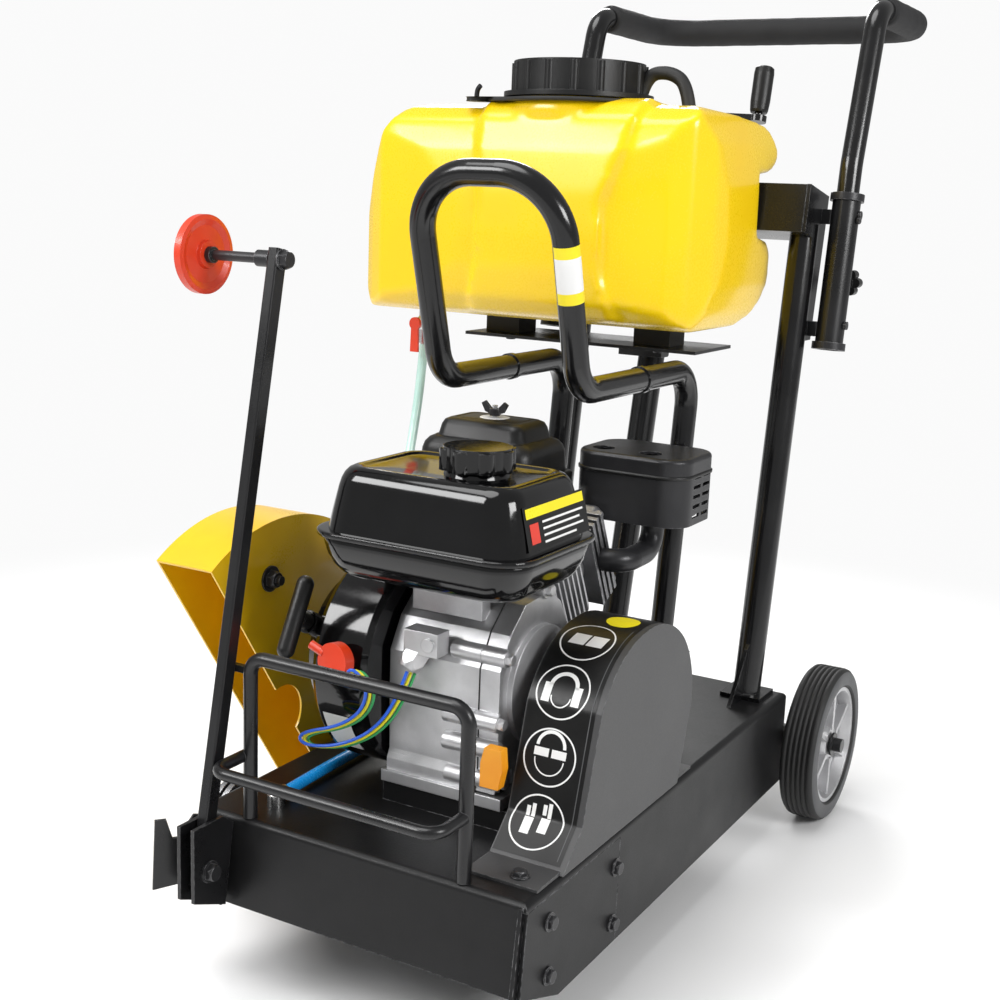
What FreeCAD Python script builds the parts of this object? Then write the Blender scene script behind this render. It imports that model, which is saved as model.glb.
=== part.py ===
import FreeCAD
import Part
import math
import os

# Walk-behind concrete saw.  Millimetres, +Z up, +X towards the belt guard, -Y towards the front.
# The design frame has X = 0 in the middle of the base; ORIGIN moves it to the box's bottom centre.
ORIGIN = (-70.5, 151.9, 0.0)

# ---- driving dimensions: base -------------------------------------------------------------
SHEET = 4.0
BASE_HALF = 187.5
BASE_FRONT = -343.0
BASE_REAR = 338.0
DECK = 180.0
SKIRT_LOW = 61.0
NOSE_LOW = 91.0
NOSE_LEAN = 9.0
CHAMFER_Y = -275.0
PANEL_GAP = 0.3

# ---- handle frame -------------------------------------------------------------------------
LEAN = math.radians(8.2)
LIFT_LEAN = math.radians(11.5)
TUBE_R = 17.0
UPRIGHT_X = 147.0
FOOT_Y = 301.0
BEAM_LOW = 755.0
BEAM_HIGH = 810.0
LIFT_X = -40.0
LIFT_Y = 285.0
CRANK_ARM_Z = 893.0
CRANK_REACH = 95.0
CRANK_ANGLE = 8.0
SOCKET_X = 190.0
SOCKET_TOP = (406.0, 792.0)
SOCKET_LENGTH = 172.0
KNOB_ALONG = 100.0
LEG_R = 13.5
LEG_BEND = (412.0, 836.0)
KNEE_Y = 467.0
GRIP_Z = 1024.0
GRIP_Y = 683.0
GRIP_START = 496.0
GRIP_BEND = 58.0
GRIP_R = 18.5

# ---- drive --------------------------------------------------------------------------------
CRANK_Y = -150.0
CRANK_Z = 310.0
BLADE_Y = -230.0
BLADE_Z = 117.0
ARBOR_R = 12.7
BELT_X = (146.0, 160.0)
FLANGE_X = -215.0
ENGINE_PULLEY_R = 30.0
BLADE_PULLEY_R = 33.0

# ---- blade guard --------------------------------------------------------------------------
GUARD_R = 209.0
GUARD_IN = -205.0
GUARD_OUT = -278.0
GUARD_OPEN = math.radians(56.0)
GUARD_PIVOT = (133.5, 16.7)

# ---- wheels -------------------------------------------------------------------------------
WHEEL_R = 100.0
WHEEL_IN = 194.0
WHEEL_OUT = 241.0
AXLE_Y = 403.0
AXLE_R = 9.0
FRONT_WHEEL_R = 50.0
FRONT_AXLE_Y = -95.0
ARM_PIVOT = (200.0, 100.0)

# ---- pointer ------------------------------------------------------------------------------
POINTER_X = -150.0
POINTER_PIVOT = (-383.0, 138.0)
POINTER_LEAN = math.radians(11.0)
POINTER_LENGTH = 590.0
DISC_X = -240.0
DISC_R = 38.5

# ---- belt guard and its bolts -------------------------------------------------------------
GUARD_LEFT = 108.0
GUARD_BOLT_X = 157.0
GUARD_BOLT_Y = (-303.0, 18.0)
PANEL_BOLTS = ((-300.0, 146.0), (-299.0, 92.0), (-162.0, 143.0), (-164.0, 84.0))
BOLT_HOLE_R = 4.3

# ---- engine -------------------------------------------------------------------------------
ENGINE_BOLT_X = (-36.0, 76.0)
ENGINE_BOLT_Y = (-208.0, -56.0)
FUEL_CAP_AT = (50.0, -222.0)
LEVER_AT = (-72.0, -104.0)
DIPSTICK_AT = (90.0, -236.0, 250.0)
DIPSTICK_OUT = (0.356, -0.864, 0.356)
STARTER_PULL = (0.0, -0.894, 0.447)

# ---- lifting bail -------------------------------------------------------------------------
BAIL_X = 81.0
BAIL_R = 13.5

# ---- water --------------------------------------------------------------------------------
TANK_X = (-388.0, 105.0)
CAP_AT = (-99.0, 240.0)
TANK_WALL = 4.0
TAP_AT = (-288.0, 205.0, 628.0)
HOSE_R = 6.0
HOSE_POINTS = [(-288, 205, 592), (-288, 200, 555), (-286, 190, 515), (-284, 176, 472), (-280, 158, 430),
               (-270, 136, 390), (-252, 112, 352), (-228, 88, 318), (-198, 64, 290), (-172, 42, 258),
               (-152, 22, 228), (-146, 8, 204)]
SPRAY_POINTS = [(-142, 0, 189), (-136, -60, 188), (-131, -120, 188), (-129, -180, 189), (-127, -240, 189),
                (-125, -285, 188.5)]

# ---- wiring -------------------------------------------------------------------------------
WIRE_R = 1.5
WIRE_POINTS = [(-52, -284, 322), (-46, -292, 336), (-36, -290, 336), (-28, -282, 316), (-38, -280, 290),
               (-62, -284, 272), (-96, -292, 262), (-104, -292, 252), (-92, -288, 246), (-60, -280, 252),
               (-30, -270, 270), (-12, -258, 300), (-6, -248, 330)]


def vec(x, y, z):
    return FreeCAD.Vector(x, y, z)


X_AXIS = vec(1, 0, 0)
Y_AXIS = vec(0, 1, 0)
Z_AXIS = vec(0, 0, 1)


def box(x, y, z):
    """A box from its spans along X, Y and Z."""
    return Part.makeBox(x[1] - x[0], y[1] - y[0], z[1] - z[0], vec(x[0], y[0], z[0]))


def rod(start, end, radius):
    """A round bar between two points."""
    run = end - start
    return Part.makeCylinder(radius, run.Length, start, run)


def pipe(start, end, outer, inner):
    """A straight round tube between two points."""
    return rod(start, end, outer).cut(rod(start, end, inner))


def join(shapes):
    """One fused solid from shapes that overlap."""
    shapes = list(shapes)
    return shapes[0].multiFuse(shapes[1:]).removeSplitter()


def group(shapes):
    """Separate solids kept in one node."""
    return Part.makeCompound(list(shapes))


def turned(profile, base, axis):
    """A solid of revolution from (radius, height) points, standing on base along axis."""
    points = [vec(r, 0, h) for r, h in profile]
    face = Part.Face(Part.makePolygon(points + points[:1]))
    solid = face.revolve(vec(0, 0, 0), Z_AXIS, 360)
    solid.Placement = FreeCAD.Placement(base, FreeCAD.Rotation(Z_AXIS, axis))
    return solid


def outline_yz(points, x):
    """A solid from a (y, z) outline, extruded along X from x[0] to x[1]."""
    ring = Part.makePolygon([vec(x[0], y, z) for y, z in points + points[:1]])
    return Part.Face(ring).extrude(vec(x[1] - x[0], 0, 0))


def outline_xz(points, y):
    ring = Part.makePolygon([vec(a, y[0], b) for a, b in points + points[:1]])
    return Part.Face(ring).extrude(vec(0, y[1] - y[0], 0))


def outline_xy(points, z):
    ring = Part.makePolygon([vec(a, b, z[0]) for a, b in points + points[:1]])
    return Part.Face(ring).extrude(vec(0, 0, z[1] - z[0]))


def bends(points, radius):
    """Straight runs through the points, joined by tangent arcs of one radius or of one each."""
    edges = []
    radii = radius if isinstance(radius, (list, tuple)) else [radius] * (len(points) - 2)
    last = points[0]
    for corner, before, after, size in zip(points[1:-1], points, points[2:], radii):
        back = (before - corner).normalize()
        ahead = (after - corner).normalize()
        half = back.getAngle(ahead) / 2
        setback = size / math.tan(half)
        middle = (back + ahead).normalize()
        start = corner + back * setback
        end = corner + ahead * setback
        top = corner + middle * (size / math.sin(half) - size)
        if (start - last).Length > 1e-6:
            edges.append(Part.LineSegment(last, start).toShape())
        edges.append(Part.Arc(start, top, end).toShape())
        last = end
    edges.append(Part.LineSegment(last, points[-1]).toShape())
    return Part.Wire(edges)


def bent_bar(points, radius, bend):
    """A round bar swept along straight runs and arcs."""
    path = bends(points, bend)
    start = (points[1] - points[0]).normalize()
    ring = Part.Wire(Part.Circle(points[0], start, radius).toShape())
    return path.makePipeShell([ring], True, False)


def bent_tube(points, outer, inner, bend):
    return bent_bar(points, outer, bend).cut(bent_bar(points, inner, bend))


def hexagon(across, base, axis, height):
    """A hexagonal prism, across its flats, standing on base along axis."""
    radius = across / math.sqrt(3)
    ring = [vec(radius * math.cos(math.radians(60 * i)), radius * math.sin(math.radians(60 * i)), 0)
            for i in range(6)]
    prism = Part.Face(Part.makePolygon(ring + ring[:1])).extrude(vec(0, 0, height))
    crown = Part.makeCone(radius * 1.02, radius * 0.80, height * 0.55, vec(0, 0, height * 0.45))
    core = Part.makeCylinder(radius * 1.02, height * 0.45)
    prism = prism.common(core.fuse(crown))
    prism.Placement = FreeCAD.Placement(base, FreeCAD.Rotation(Z_AXIS, axis))
    return prism


def bolt(base, axis, shank, length, washer=True):
    """A hex bolt: the washer's underside is at base, the head points along axis."""
    out = vec(*axis).normalize()
    pad = 1.6 if washer else 0.0
    head = hexagon(shank * 1.6, base + out * pad, out, shank * 0.62)
    parts = [head, rod(base + out * (pad + 0.5), base - out * length, shank / 2)]
    if washer:
        parts.append(rod(base, base + out * (pad + 0.01), shank * 1.12))
    return join(parts)


def leaned(x, y, z, lean=LEAN):
    """A point on a tube that leans back from (y, z = DECK) at x, at height z."""
    return vec(x, y + (z - DECK) * math.tan(lean), z)


def lift_axis(z):
    """A point on the lift screw's axis at height z."""
    return leaned(LIFT_X, LIFT_Y, z, LIFT_LEAN)


def save(name, shape):
    moved = shape.copy()
    moved.translate(vec(-ORIGIN[0], -ORIGIN[1], -ORIGIN[2]))
    moved.exportStep("parts/%s.step" % name)
    print("%-20s %9.0f mm3 solids %d valid %s" % (name, shape.Volume, len(shape.Solids), shape.isValid()))


# ---- base ---------------------------------------------------------------------------------

def base_outline(inset):
    """The base's side outline, set in by one sheet thickness for the inner face."""
    low = SKIRT_LOW - (20 if inset else 0)
    nose = NOSE_LOW - (20 if inset else 0)
    slope = NOSE_LEAN / (DECK - NOSE_LOW)
    return [
        (BASE_FRONT + inset, DECK - inset),
        (BASE_REAR - inset, DECK - inset),
        (BASE_REAR - inset, low),
        (CHAMFER_Y, low),
        (BASE_FRONT + inset - slope * (DECK - nose), nose),
    ]


def deck():
    outer = outline_yz(base_outline(0), (-BASE_HALF, BASE_HALF))
    top_edges = [e for e in outer.Edges if all(abs(v.Z - DECK) < 0.01 for v in e.Vertexes)]
    outer = outer.makeFillet(7.0, top_edges)
    inner = outline_yz(base_outline(SHEET), (-BASE_HALF + SHEET, BASE_HALF - SHEET))
    shell = outer.cut(inner)
    cuts = [
        box((-165, 165), (BASE_REAR - 30, BASE_REAR + 5), (0, 148)),
        box((BASE_HALF - SHEET - 1, BASE_HALF + 1), (BASE_FRONT - 20, -153), (0, DECK - 8)),
        box((134, 176), (-268, -60), (DECK - 10, DECK + 10)),
        rod(vec(-BASE_HALF - 5, BLADE_Y, BLADE_Z), vec(-BASE_HALF + 10, BLADE_Y, BLADE_Z), 21),
        rod(lift_axis(100), lift_axis(240), 14.0),
        rod(vec(-125, -300, DECK - 10), vec(-125, -300, DECK + 10), 8.5),
    ]
    for x in ENGINE_BOLT_X:
        for y in ENGINE_BOLT_Y:
            cuts.append(rod(vec(x, y, DECK - 10), vec(x, y, DECK + 10), BOLT_HOLE_R))
    for y in GUARD_BOLT_Y:
        cuts.append(rod(vec(GUARD_BOLT_X, y, DECK - 10), vec(GUARD_BOLT_X, y, DECK + 10), BOLT_HOLE_R))
    for part in cuts:
        shell = shell.cut(part)
    front_strip = outline_yz([(-345.5, 176.5), (-309, 176.5), (-309, 80), (-357, 92)],
                             (BASE_HALF - 2 * SHEET, BASE_HALF - SHEET))
    rear_strip = box((BASE_HALF - 2 * SHEET, BASE_HALF - SHEET), (-172, -140), (62, 176.5))
    pads = []
    for y, z in ((-300, 146), (-299, 92)):
        pads.append(rod(vec(BASE_HALF - 2 * SHEET, y, z), vec(BASE_HALF - SHEET, y, z), 12))
    ribs = [
        box((-BASE_HALF + SHEET - 0.5, BASE_HALF - 2 * SHEET), (120, 124), (130, 176.5)),
        box((-BASE_HALF + SHEET - 0.5, BASE_HALF - SHEET + 0.5), (-34, -30), (130, 176.5)),
    ]
    hangers = []
    for side in (-1, 1):
        web = outline_yz([(FRONT_AXLE_Y - 40, 177), (FRONT_AXLE_Y + 40, 177), (FRONT_AXLE_Y + 14, 36),
                          (FRONT_AXLE_Y - 14, 36)], (side * 64 - 3, side * 64 + 3))
        hole = rod(vec(side * 64 - 5, FRONT_AXLE_Y, FRONT_WHEEL_R),
                   vec(side * 64 + 5, FRONT_AXLE_Y, FRONT_WHEEL_R), 8.05)
        hangers.append(web.cut(hole))
    for side in (-1, 1):
        ear = outline_yz([(ARM_PIVOT[0] - 32, 177), (ARM_PIVOT[0] + 32, 177), (ARM_PIVOT[0] + 16, 82),
                          (ARM_PIVOT[0] - 16, 82)], (side * 168 - 3, side * 168 + 3))
        hole = rod(vec(side * 168 - 5, *ARM_PIVOT), vec(side * 168 + 5, *ARM_PIVOT), 8.05)
        hangers.append(ear.cut(hole))
    strips = [front_strip, rear_strip] + pads
    holes = [rod(vec(BASE_HALF - 30, y, z), vec(BASE_HALF + 5, y, z), BOLT_HOLE_R)
             for y, z in PANEL_BOLTS]
    body = join([shell] + strips + ribs + hangers + engine_rails() + [guard_pivot()])
    for part in holes:
        body = body.cut(part)
    return body


def belt_access_plate():
    slope = NOSE_LEAN / (DECK - NOSE_LOW)
    top = DECK - 8 - PANEL_GAP
    points = [
        (BASE_FRONT + 2 - slope * (DECK - top), top),
        (-153.6, top),
        (-153.6, SKIRT_LOW),
        (CHAMFER_Y, SKIRT_LOW),
        (BASE_FRONT + 2 - NOSE_LEAN, NOSE_LOW),
    ]
    plate = outline_yz(points, (BASE_HALF - SHEET, BASE_HALF))
    for y, z in PANEL_BOLTS:
        plate = plate.cut(rod(vec(BASE_HALF - 30, y, z), vec(BASE_HALF + 5, y, z), BOLT_HOLE_R))
    return plate


def panel_bolts():
    bolts = [bolt(vec(BASE_HALF, y, z), (1, 0, 0), 8, 12) for y, z in
             PANEL_BOLTS]
    bolts += [bolt(vec(GUARD_BOLT_X, y, DECK + 3), (0, 0, 1), 8, 14) for y in GUARD_BOLT_Y]
    return group(bolts)


def guard_arc(inset):
    """The belt guard's side outline: foot, slanted front, round top, rear and foot."""
    low = DECK if not inset else DECK - 5
    front = vec(0, -277 + inset, low)
    knee = vec(0, -241 + inset, 214)
    shoulder = vec(0, -212 + inset, 316)
    crest = vec(0, -120 + inset * 0.1, 374 - inset)
    back = vec(0, -25 - inset * 0.6, 347 - inset * 0.7)
    rear = vec(0, 11 - inset, 263)
    heel = vec(0, -14 - inset, low)
    edges = [
        Part.LineSegment(front, knee).toShape(),
        Part.LineSegment(knee, shoulder).toShape(),
        Part.Arc(shoulder, vec(0, -172 + inset * 0.7, 358 - inset * 0.7), crest).toShape(),
        Part.Arc(crest, vec(0, -66, 369 - inset), back).toShape(),
        Part.Arc(back, vec(0, 4 - inset, 307), rear).toShape(),
        Part.LineSegment(rear, heel).toShape(),
        Part.LineSegment(heel, front).toShape(),
    ]
    return Part.Face(Part.Wire(edges))


def belt_guard():
    outer = guard_arc(0.0)
    outer.translate(vec(GUARD_LEFT, 0, 0))
    outer = outer.extrude(vec(BASE_HALF - GUARD_LEFT, 0, 0))
    inner = guard_arc(3.0)
    inner.translate(vec(GUARD_LEFT + 3, 0, 0))
    inner = inner.extrude(vec(BASE_HALF - GUARD_LEFT - 6, 0, 0))
    shell = outer.cut(inner)
    window = box((GUARD_LEFT - 5, GUARD_LEFT + 5), (CRANK_Y - 30, CRANK_Y + 30), (DECK - 5, CRANK_Z))
    window = window.fuse(rod(vec(GUARD_LEFT - 5, CRANK_Y, CRANK_Z), vec(GUARD_LEFT + 5, CRANK_Y, CRANK_Z),
                             30))
    shell = shell.cut(window)
    foot = box((GUARD_LEFT, BASE_HALF - 4), (-318, -274), (DECK, DECK + 3))
    heel = box((GUARD_LEFT, BASE_HALF - 4), (-20, 32), (DECK, DECK + 3))
    body = join([shell, foot, heel])
    for y in GUARD_BOLT_Y:
        body = body.cut(rod(vec(GUARD_BOLT_X, y, DECK - 1), vec(GUARD_BOLT_X, y, DECK + 60), BOLT_HOLE_R))
    return body


def front_bumper():
    left, right = -128.0, 117.0
    y, r = -335.0, 7.0
    loop = bent_bar([vec(left, y, DECK), vec(left, y, 344), vec(right, y, 344), vec(right, y, DECK)], r, 17)
    low = bent_bar([vec(left - 6, y, 243), vec(left - 6, y - 50, 243), vec(right, y - 50, 243),
                    vec(right, y, 243)], r - 1, 17)
    rest_y = pointer_point(194).y
    clip = box((POINTER_X - 6, left), (rest_y + 9.6, rest_y + 15.6), (326, 333))
    stay = box((left - 4, left + 4), (y - 2, rest_y + 15), (326, 333))
    return join([loop, low, clip, stay])


def pointer_bracket():
    """A clevis on the nose, with a notched catch plate on its left."""
    tang = 4.0
    slot = 6.6
    plates = []
    for side in (-1, 1):
        a = POINTER_X + side * (slot + tang)
        b = POINTER_X + side * slot
        plates.append(outline_yz([(-404, 187), (-362, 187), (-347, 176), (-359, 93), (-404, 112)],
                                 (min(a, b), max(a, b))))
    web = outline_yz([(-353.5, 170), (-350, 170), (-360.8, 95), (-366, 95)],
                     (POINTER_X - slot - tang, POINTER_X + slot + tang))
    catch = outline_xz([(0, 118), (58, 110), (55, 182), (44, 182), (38, 162), (33, 162), (18, 184),
                        (0, 182)],
                       (-2, 2))
    catch.rotate(vec(0, 0, 0), Z_AXIS, 180 + 50)
    catch.translate(vec(POINTER_X - slot - tang + 1.5, -356, 0))
    body = join(plates + [web, catch])
    return body.cut(rod(vec(POINTER_X - 14, *POINTER_PIVOT), vec(POINTER_X + 14, *POINTER_PIVOT), 5.05))


# ---- pointer ------------------------------------------------------------------------------

def pointer_point(along, x=POINTER_X):
    return vec(x, POINTER_PIVOT[0] + along * math.sin(POINTER_LEAN),
               POINTER_PIVOT[1] + along * math.cos(POINTER_LEAN))


def pointer_arm():
    half = 8.0
    bar = box((-half * 0.75, half * 0.75), (-half, half), (-16, POINTER_LENGTH + 10))
    bar = bar.makeFillet(2.0, [e for e in bar.Edges if abs(e.Vertexes[0].Z - e.Vertexes[1].Z) > 10])
    bar = bar.cut(rod(vec(-20, 0, 0), vec(20, 0, 0), 5.05))
    bar = bar.cut(rod(vec(-20, 0, POINTER_LENGTH), vec(20, 0, POINTER_LENGTH), 5.05))
    bar.rotate(vec(0, 0, 0), X_AXIS, -math.degrees(POINTER_LEAN))
    bar.translate(vec(POINTER_X, *POINTER_PIVOT))
    return bar


def pointer_axle():
    y, z = pointer_point(POINTER_LENGTH).y, pointer_point(POINTER_LENGTH).z
    left, right = DISC_X - 16, POINTER_X + 6.01
    parts = [
        rod(vec(left, y, z), vec(right + 8, y, z), 5.0),
        rod(vec(POINTER_X - 22, y, z), vec(POINTER_X - 6, y, z), 8.0),
        rod(vec(DISC_X + 7.3, y, z), vec(DISC_X + 13, y, z), 8.0),
        rod(vec(right, y, z), vec(right + 2, y, z), 10.0),
        hexagon(16, vec(right + 2, y, z), X_AXIS, 8),
        hexagon(14, vec(DISC_X - 7.3, y, z), X_AXIS * -1, 7),
    ]
    return join(parts)


def pointer_disc():
    y, z = pointer_point(POINTER_LENGTH).y, pointer_point(POINTER_LENGTH).z
    profile = [(5.1, -7), (13, -7), (14, -3), (28, -2.2), (34, -5), (DISC_R, -4), (DISC_R, 4), (34, 5),
               (28, 2.2), (14, 3), (13, 7), (5.1, 7)]
    return turned(profile, vec(DISC_X, y, z), X_AXIS)


def pointer_bolt():
    right = POINTER_X + 10.6
    left = POINTER_X - 10.6
    y, z = POINTER_PIVOT
    parts = [
        rod(vec(left - 12, y, z), vec(right, y, z), 5.0),
        rod(vec(right, y, z), vec(right + 2, y, z), 11.0),
        hexagon(16, vec(right + 2, y, z), X_AXIS, 7),
        rod(vec(left - 2, y, z), vec(left, y, z), 11.0),
        hexagon(16, vec(left - 2, y, z), X_AXIS * -1, 8),
    ]
    return join(parts)


# ---- handle frame -------------------------------------------------------------------------

def uprights():
    """Two leaning tubes with foot plates and front gussets, and the tube that houses the lift screw."""
    parts = []
    for side in (-1, 1):
        x = side * UPRIGHT_X
        tube = pipe(leaned(x, FOOT_Y, DECK + 3.6), leaned(x, FOOT_Y, BEAM_LOW + 8), TUBE_R, TUBE_R - 2.5)
        foot = box((x - 26, x + 26), (FOOT_Y - 24, FOOT_Y + 26), (DECK, DECK + 5))
        gusset = outline_yz([(FOOT_Y - 62, DECK), (FOOT_Y - 10, DECK), (FOOT_Y - 5, DECK + 70),
                             (FOOT_Y - 14, DECK + 62)], (x - 2.5, x + 2.5))
        parts.append(join([tube, foot, gusset]))
    parts.append(lift_tube())
    return group(parts)


def beam_frame(shape):
    """Leans a shape that was drawn upright about the middle of the crossbeam's front face."""
    shape.rotate(vec(0, 346, 782), X_AXIS, -math.degrees(LEAN))
    return shape


def crossbeam():
    """A channel between the uprights, open at the back, with end plates that carry the sockets."""
    y = (346.0, 436.0)
    outer = box((-157, 157), y, (754, 811))
    inner = box((-152, 152), (y[0] + 4, y[1] + 5), (758, 807))
    channel = beam_frame(outer.cut(inner))
    for side in (-1, 1):
        channel = channel.cut(rod(leaned(side * UPRIGHT_X, FOOT_Y, 700),
                                  leaned(side * UPRIGHT_X, FOOT_Y, BEAM_LOW + 8.3),
                                  TUBE_R + 0.2))
    plates = []
    for side in (-1, 1):
        points = [(351, 811), (422, 798), (420, 760), (396, 622), (368, 622), (370, 748), (343, 754)]
        x = sorted((side * 156.5, side * 161.5))
        tube = rod(leaned(side * UPRIGHT_X, FOOT_Y, 560), leaned(side * UPRIGHT_X, FOOT_Y, BEAM_LOW + 8.3),
                   TUBE_R + 0.02)
        plates.append(outline_yz(points, x).cut(tube))
    webs = []
    for side in (-1, 1):
        for z in (776.0, 640.0):
            x = sorted((side * 161, side * 172))
            y_here = SOCKET_TOP[0] - (SOCKET_TOP[1] - z) * math.tan(LEAN)
            webs.append(box(x, (y_here - 4, y_here + 4), (z - 12, z + 6)))
    boss = rod(lift_axis(800), lift_axis(824), 20)
    body = join([channel] + plates + webs + [boss])
    body = body.cut(rod(lift_axis(700), lift_axis(BEAM_LOW + 1.3), TUBE_R + 0.2))
    return body.cut(rod(lift_axis(700), lift_axis(900), 9.05))


def socket_point(side, along):
    """A point on a socket's axis, measured down from its top."""
    return vec(side * SOCKET_X, SOCKET_TOP[0] - along * math.sin(LEAN),
               SOCKET_TOP[1] - along * math.cos(LEAN))


def handle_sockets():
    parts = []
    for side in (-1, 1):
        tube = pipe(socket_point(side, 0), socket_point(side, SOCKET_LENGTH), TUBE_R, TUBE_R - 2.2)
        boss_at = socket_point(side, KNOB_ALONG)
        boss = rod(boss_at + vec(0, 12, 0), boss_at + vec(0, 27, 0), 9.0)
        tube = tube.fuse(boss.cut(rod(socket_point(side, 0), socket_point(side, SOCKET_LENGTH),
                                      TUBE_R - 1)))
        parts.append(tube.cut(rod(boss_at, boss_at + vec(0, 40, 0), 4.1)))
    return group(parts)


def socket_rings():
    """Plastic bushes at the top and bottom of each socket, and the rivets that hold them."""
    parts = []
    for side in (-1, 1):
        for a, b in ((-9.0, 0.0), (SOCKET_LENGTH, SOCKET_LENGTH + 9.0)):
            ring = pipe(socket_point(side, a), socket_point(side, b), 20.5, LEG_R + 0.4)
            parts.append(ring)
        for along in (16.0, SOCKET_LENGTH - 22):
            at = socket_point(side, along)
            parts.append(rod(at + vec(side * (TUBE_R - 0.2), 0, 0), at + vec(side * (TUBE_R + 3.2), 0, 0),
                             5.0))
    return group(parts)


def handlebar():
    """One bent tube: two legs in the sockets, and the bar behind them for the operator's hands."""
    path = []
    for side in (-1, 1):
        x = side * SOCKET_X
        leg = [socket_point(side, 150.0), vec(x, *LEG_BEND), vec(x, KNEE_Y, GRIP_Z), vec(x, GRIP_Y, GRIP_Z)]
        path += leg if side < 0 else leg[::-1]
    return bent_tube(path, LEG_R, LEG_R - 2, [80, 38, GRIP_BEND, GRIP_BEND, 38, 80])


def foam_grip():
    path = [vec(-SOCKET_X, GRIP_START, GRIP_Z), vec(-SOCKET_X, GRIP_Y, GRIP_Z),
            vec(SOCKET_X, GRIP_Y, GRIP_Z),
            vec(SOCKET_X, GRIP_START, GRIP_Z)]
    return bent_tube(path, GRIP_R, LEG_R + 0.02, GRIP_BEND)


def clamp_knob(side):
    """A star knob on a screw that presses on the handle's leg."""
    at = socket_point(side, KNOB_ALONG)
    face = vec(0, 41, 0)
    back = vec(0, 55, 0)
    parts = [rod(at + face, at + back, 11)]
    for i in range(6):
        a = math.radians(60 * i)
        lobe = at + vec(11 * math.cos(a), 0, 11 * math.sin(a))
        parts.append(rod(lobe + face, lobe + back, 6))
    parts.append(rod(at + vec(0, 28.3, 0), at + vec(0, 42, 0), 8))
    parts.append(rod(at + vec(0, LEG_R + 1.6, 0), at + vec(0, 45, 0), 4.0))
    return join(parts)


# ---- depth adjustment ---------------------------------------------------------------------

def lift_tube():
    tube = pipe(lift_axis(DECK + 3.6), lift_axis(BEAM_LOW + 1), TUBE_R, 13.5)
    foot = box((LIFT_X - 30, LIFT_X + 30), (LIFT_Y - 28, LIFT_Y + 30), (DECK, DECK + 5))
    foot = foot.cut(rod(lift_axis(100), lift_axis(240), 13.5))
    return join([tube, foot])


def depth_crank():
    """The lift screw with its crank arm on top."""
    screw = rod(lift_axis(420), lift_axis(CRANK_ARM_Z), 8.0)
    journal = rod(lift_axis(780), lift_axis(840), 9.0)
    collar = rod(lift_axis(824.3), lift_axis(835), 15.0)
    hub = rod(lift_axis(CRANK_ARM_Z - 14), lift_axis(CRANK_ARM_Z + 8), 14.0)
    pin = crank_pin_base()
    arm = Part.makeBox(CRANK_REACH, 18, 8, vec(0, -9, -4))
    ends = Part.makeCylinder(11, 8, vec(CRANK_REACH, 0, -4))
    arm = arm.fuse([ends])
    arm.rotate(vec(0, 0, 0), Z_AXIS, CRANK_ANGLE)
    arm.rotate(vec(0, 0, 0), X_AXIS, -math.degrees(LIFT_LEAN))
    arm.translate(lift_axis(CRANK_ARM_Z))
    spindle = rod(pin, pin + crank_up() * 62, 5.0)
    return join([screw, journal, collar, hub, arm, spindle])


def crank_up():
    return vec(0, math.sin(LIFT_LEAN), math.cos(LIFT_LEAN))


def crank_pin_base():
    angle = math.radians(CRANK_ANGLE)
    back = vec(0, math.cos(LIFT_LEAN), -math.sin(LIFT_LEAN))
    return lift_axis(CRANK_ARM_Z) + vec(CRANK_REACH * math.cos(angle), 0,
                                        0) + back * (CRANK_REACH * math.sin(angle))


def crank_grip():
    profile = [(5.1, 0), (10.5, 0), (11.5, 3), (12.5, 14), (12.7, 50), (12, 56), (9.5, 58), (5.1, 58)]
    return turned(profile, crank_pin_base() + crank_up() * 8, crank_up())


def lift_rod():
    """The nut and push tube that the screw drives, with the fork at its foot."""
    tube = pipe(lift_axis(143), lift_axis(560), 12.5, 9.0)
    nut = pipe(lift_axis(545), lift_axis(565), 12.5, 8.3)
    foot = rod(lift_axis(132), lift_axis(144), 12.5)
    return join([tube, nut, foot])


def axle_carriage():
    """Two trailing arms on a pivot bar, joined by the wheel axle and by the bar that the lift rod presses."""
    py, pz = ARM_PIVOT
    parts = []
    for side in (-1, 1):
        x = side * 158.0
        arm = outline_yz([(py - 14, pz - 14), (py - 14, pz + 12), (py + 30, pz + 22),
                          (AXLE_Y + 15, WHEEL_R + 16),
                          (AXLE_Y + 15, WHEEL_R - 16), (py + 30, pz - 22)], (x - 4, x + 4))
        parts.append(arm)
    parts.append(rod(vec(-176, py, pz), vec(176, py, pz), 8.0))
    parts.append(rod(vec(-WHEEL_OUT - 6, AXLE_Y, WHEEL_R), vec(WHEEL_OUT + 6, AXLE_Y, WHEEL_R), AXLE_R))
    for side in (-1, 1):
        a, b = sorted((side * 162, side * (WHEEL_IN - 1)))
        parts.append(rod(vec(a, AXLE_Y, WHEEL_R), vec(b, AXLE_Y, WHEEL_R), 13))
        parts.append(rod(vec(side * (WHEEL_OUT - 8), AXLE_Y, WHEEL_R),
                         vec(side * (WHEEL_OUT - 5), AXLE_Y, WHEEL_R), 15))
    press_y = lift_axis(126).y
    parts.append(rod(vec(-158, press_y, 108), vec(158, press_y, 108), 10.0))
    parts.append(box((LIFT_X - 16, LIFT_X + 16), (press_y - 8, press_y + 8), (106, 126)))
    return join(parts)


# ---- wheels -------------------------------------------------------------------------------

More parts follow.
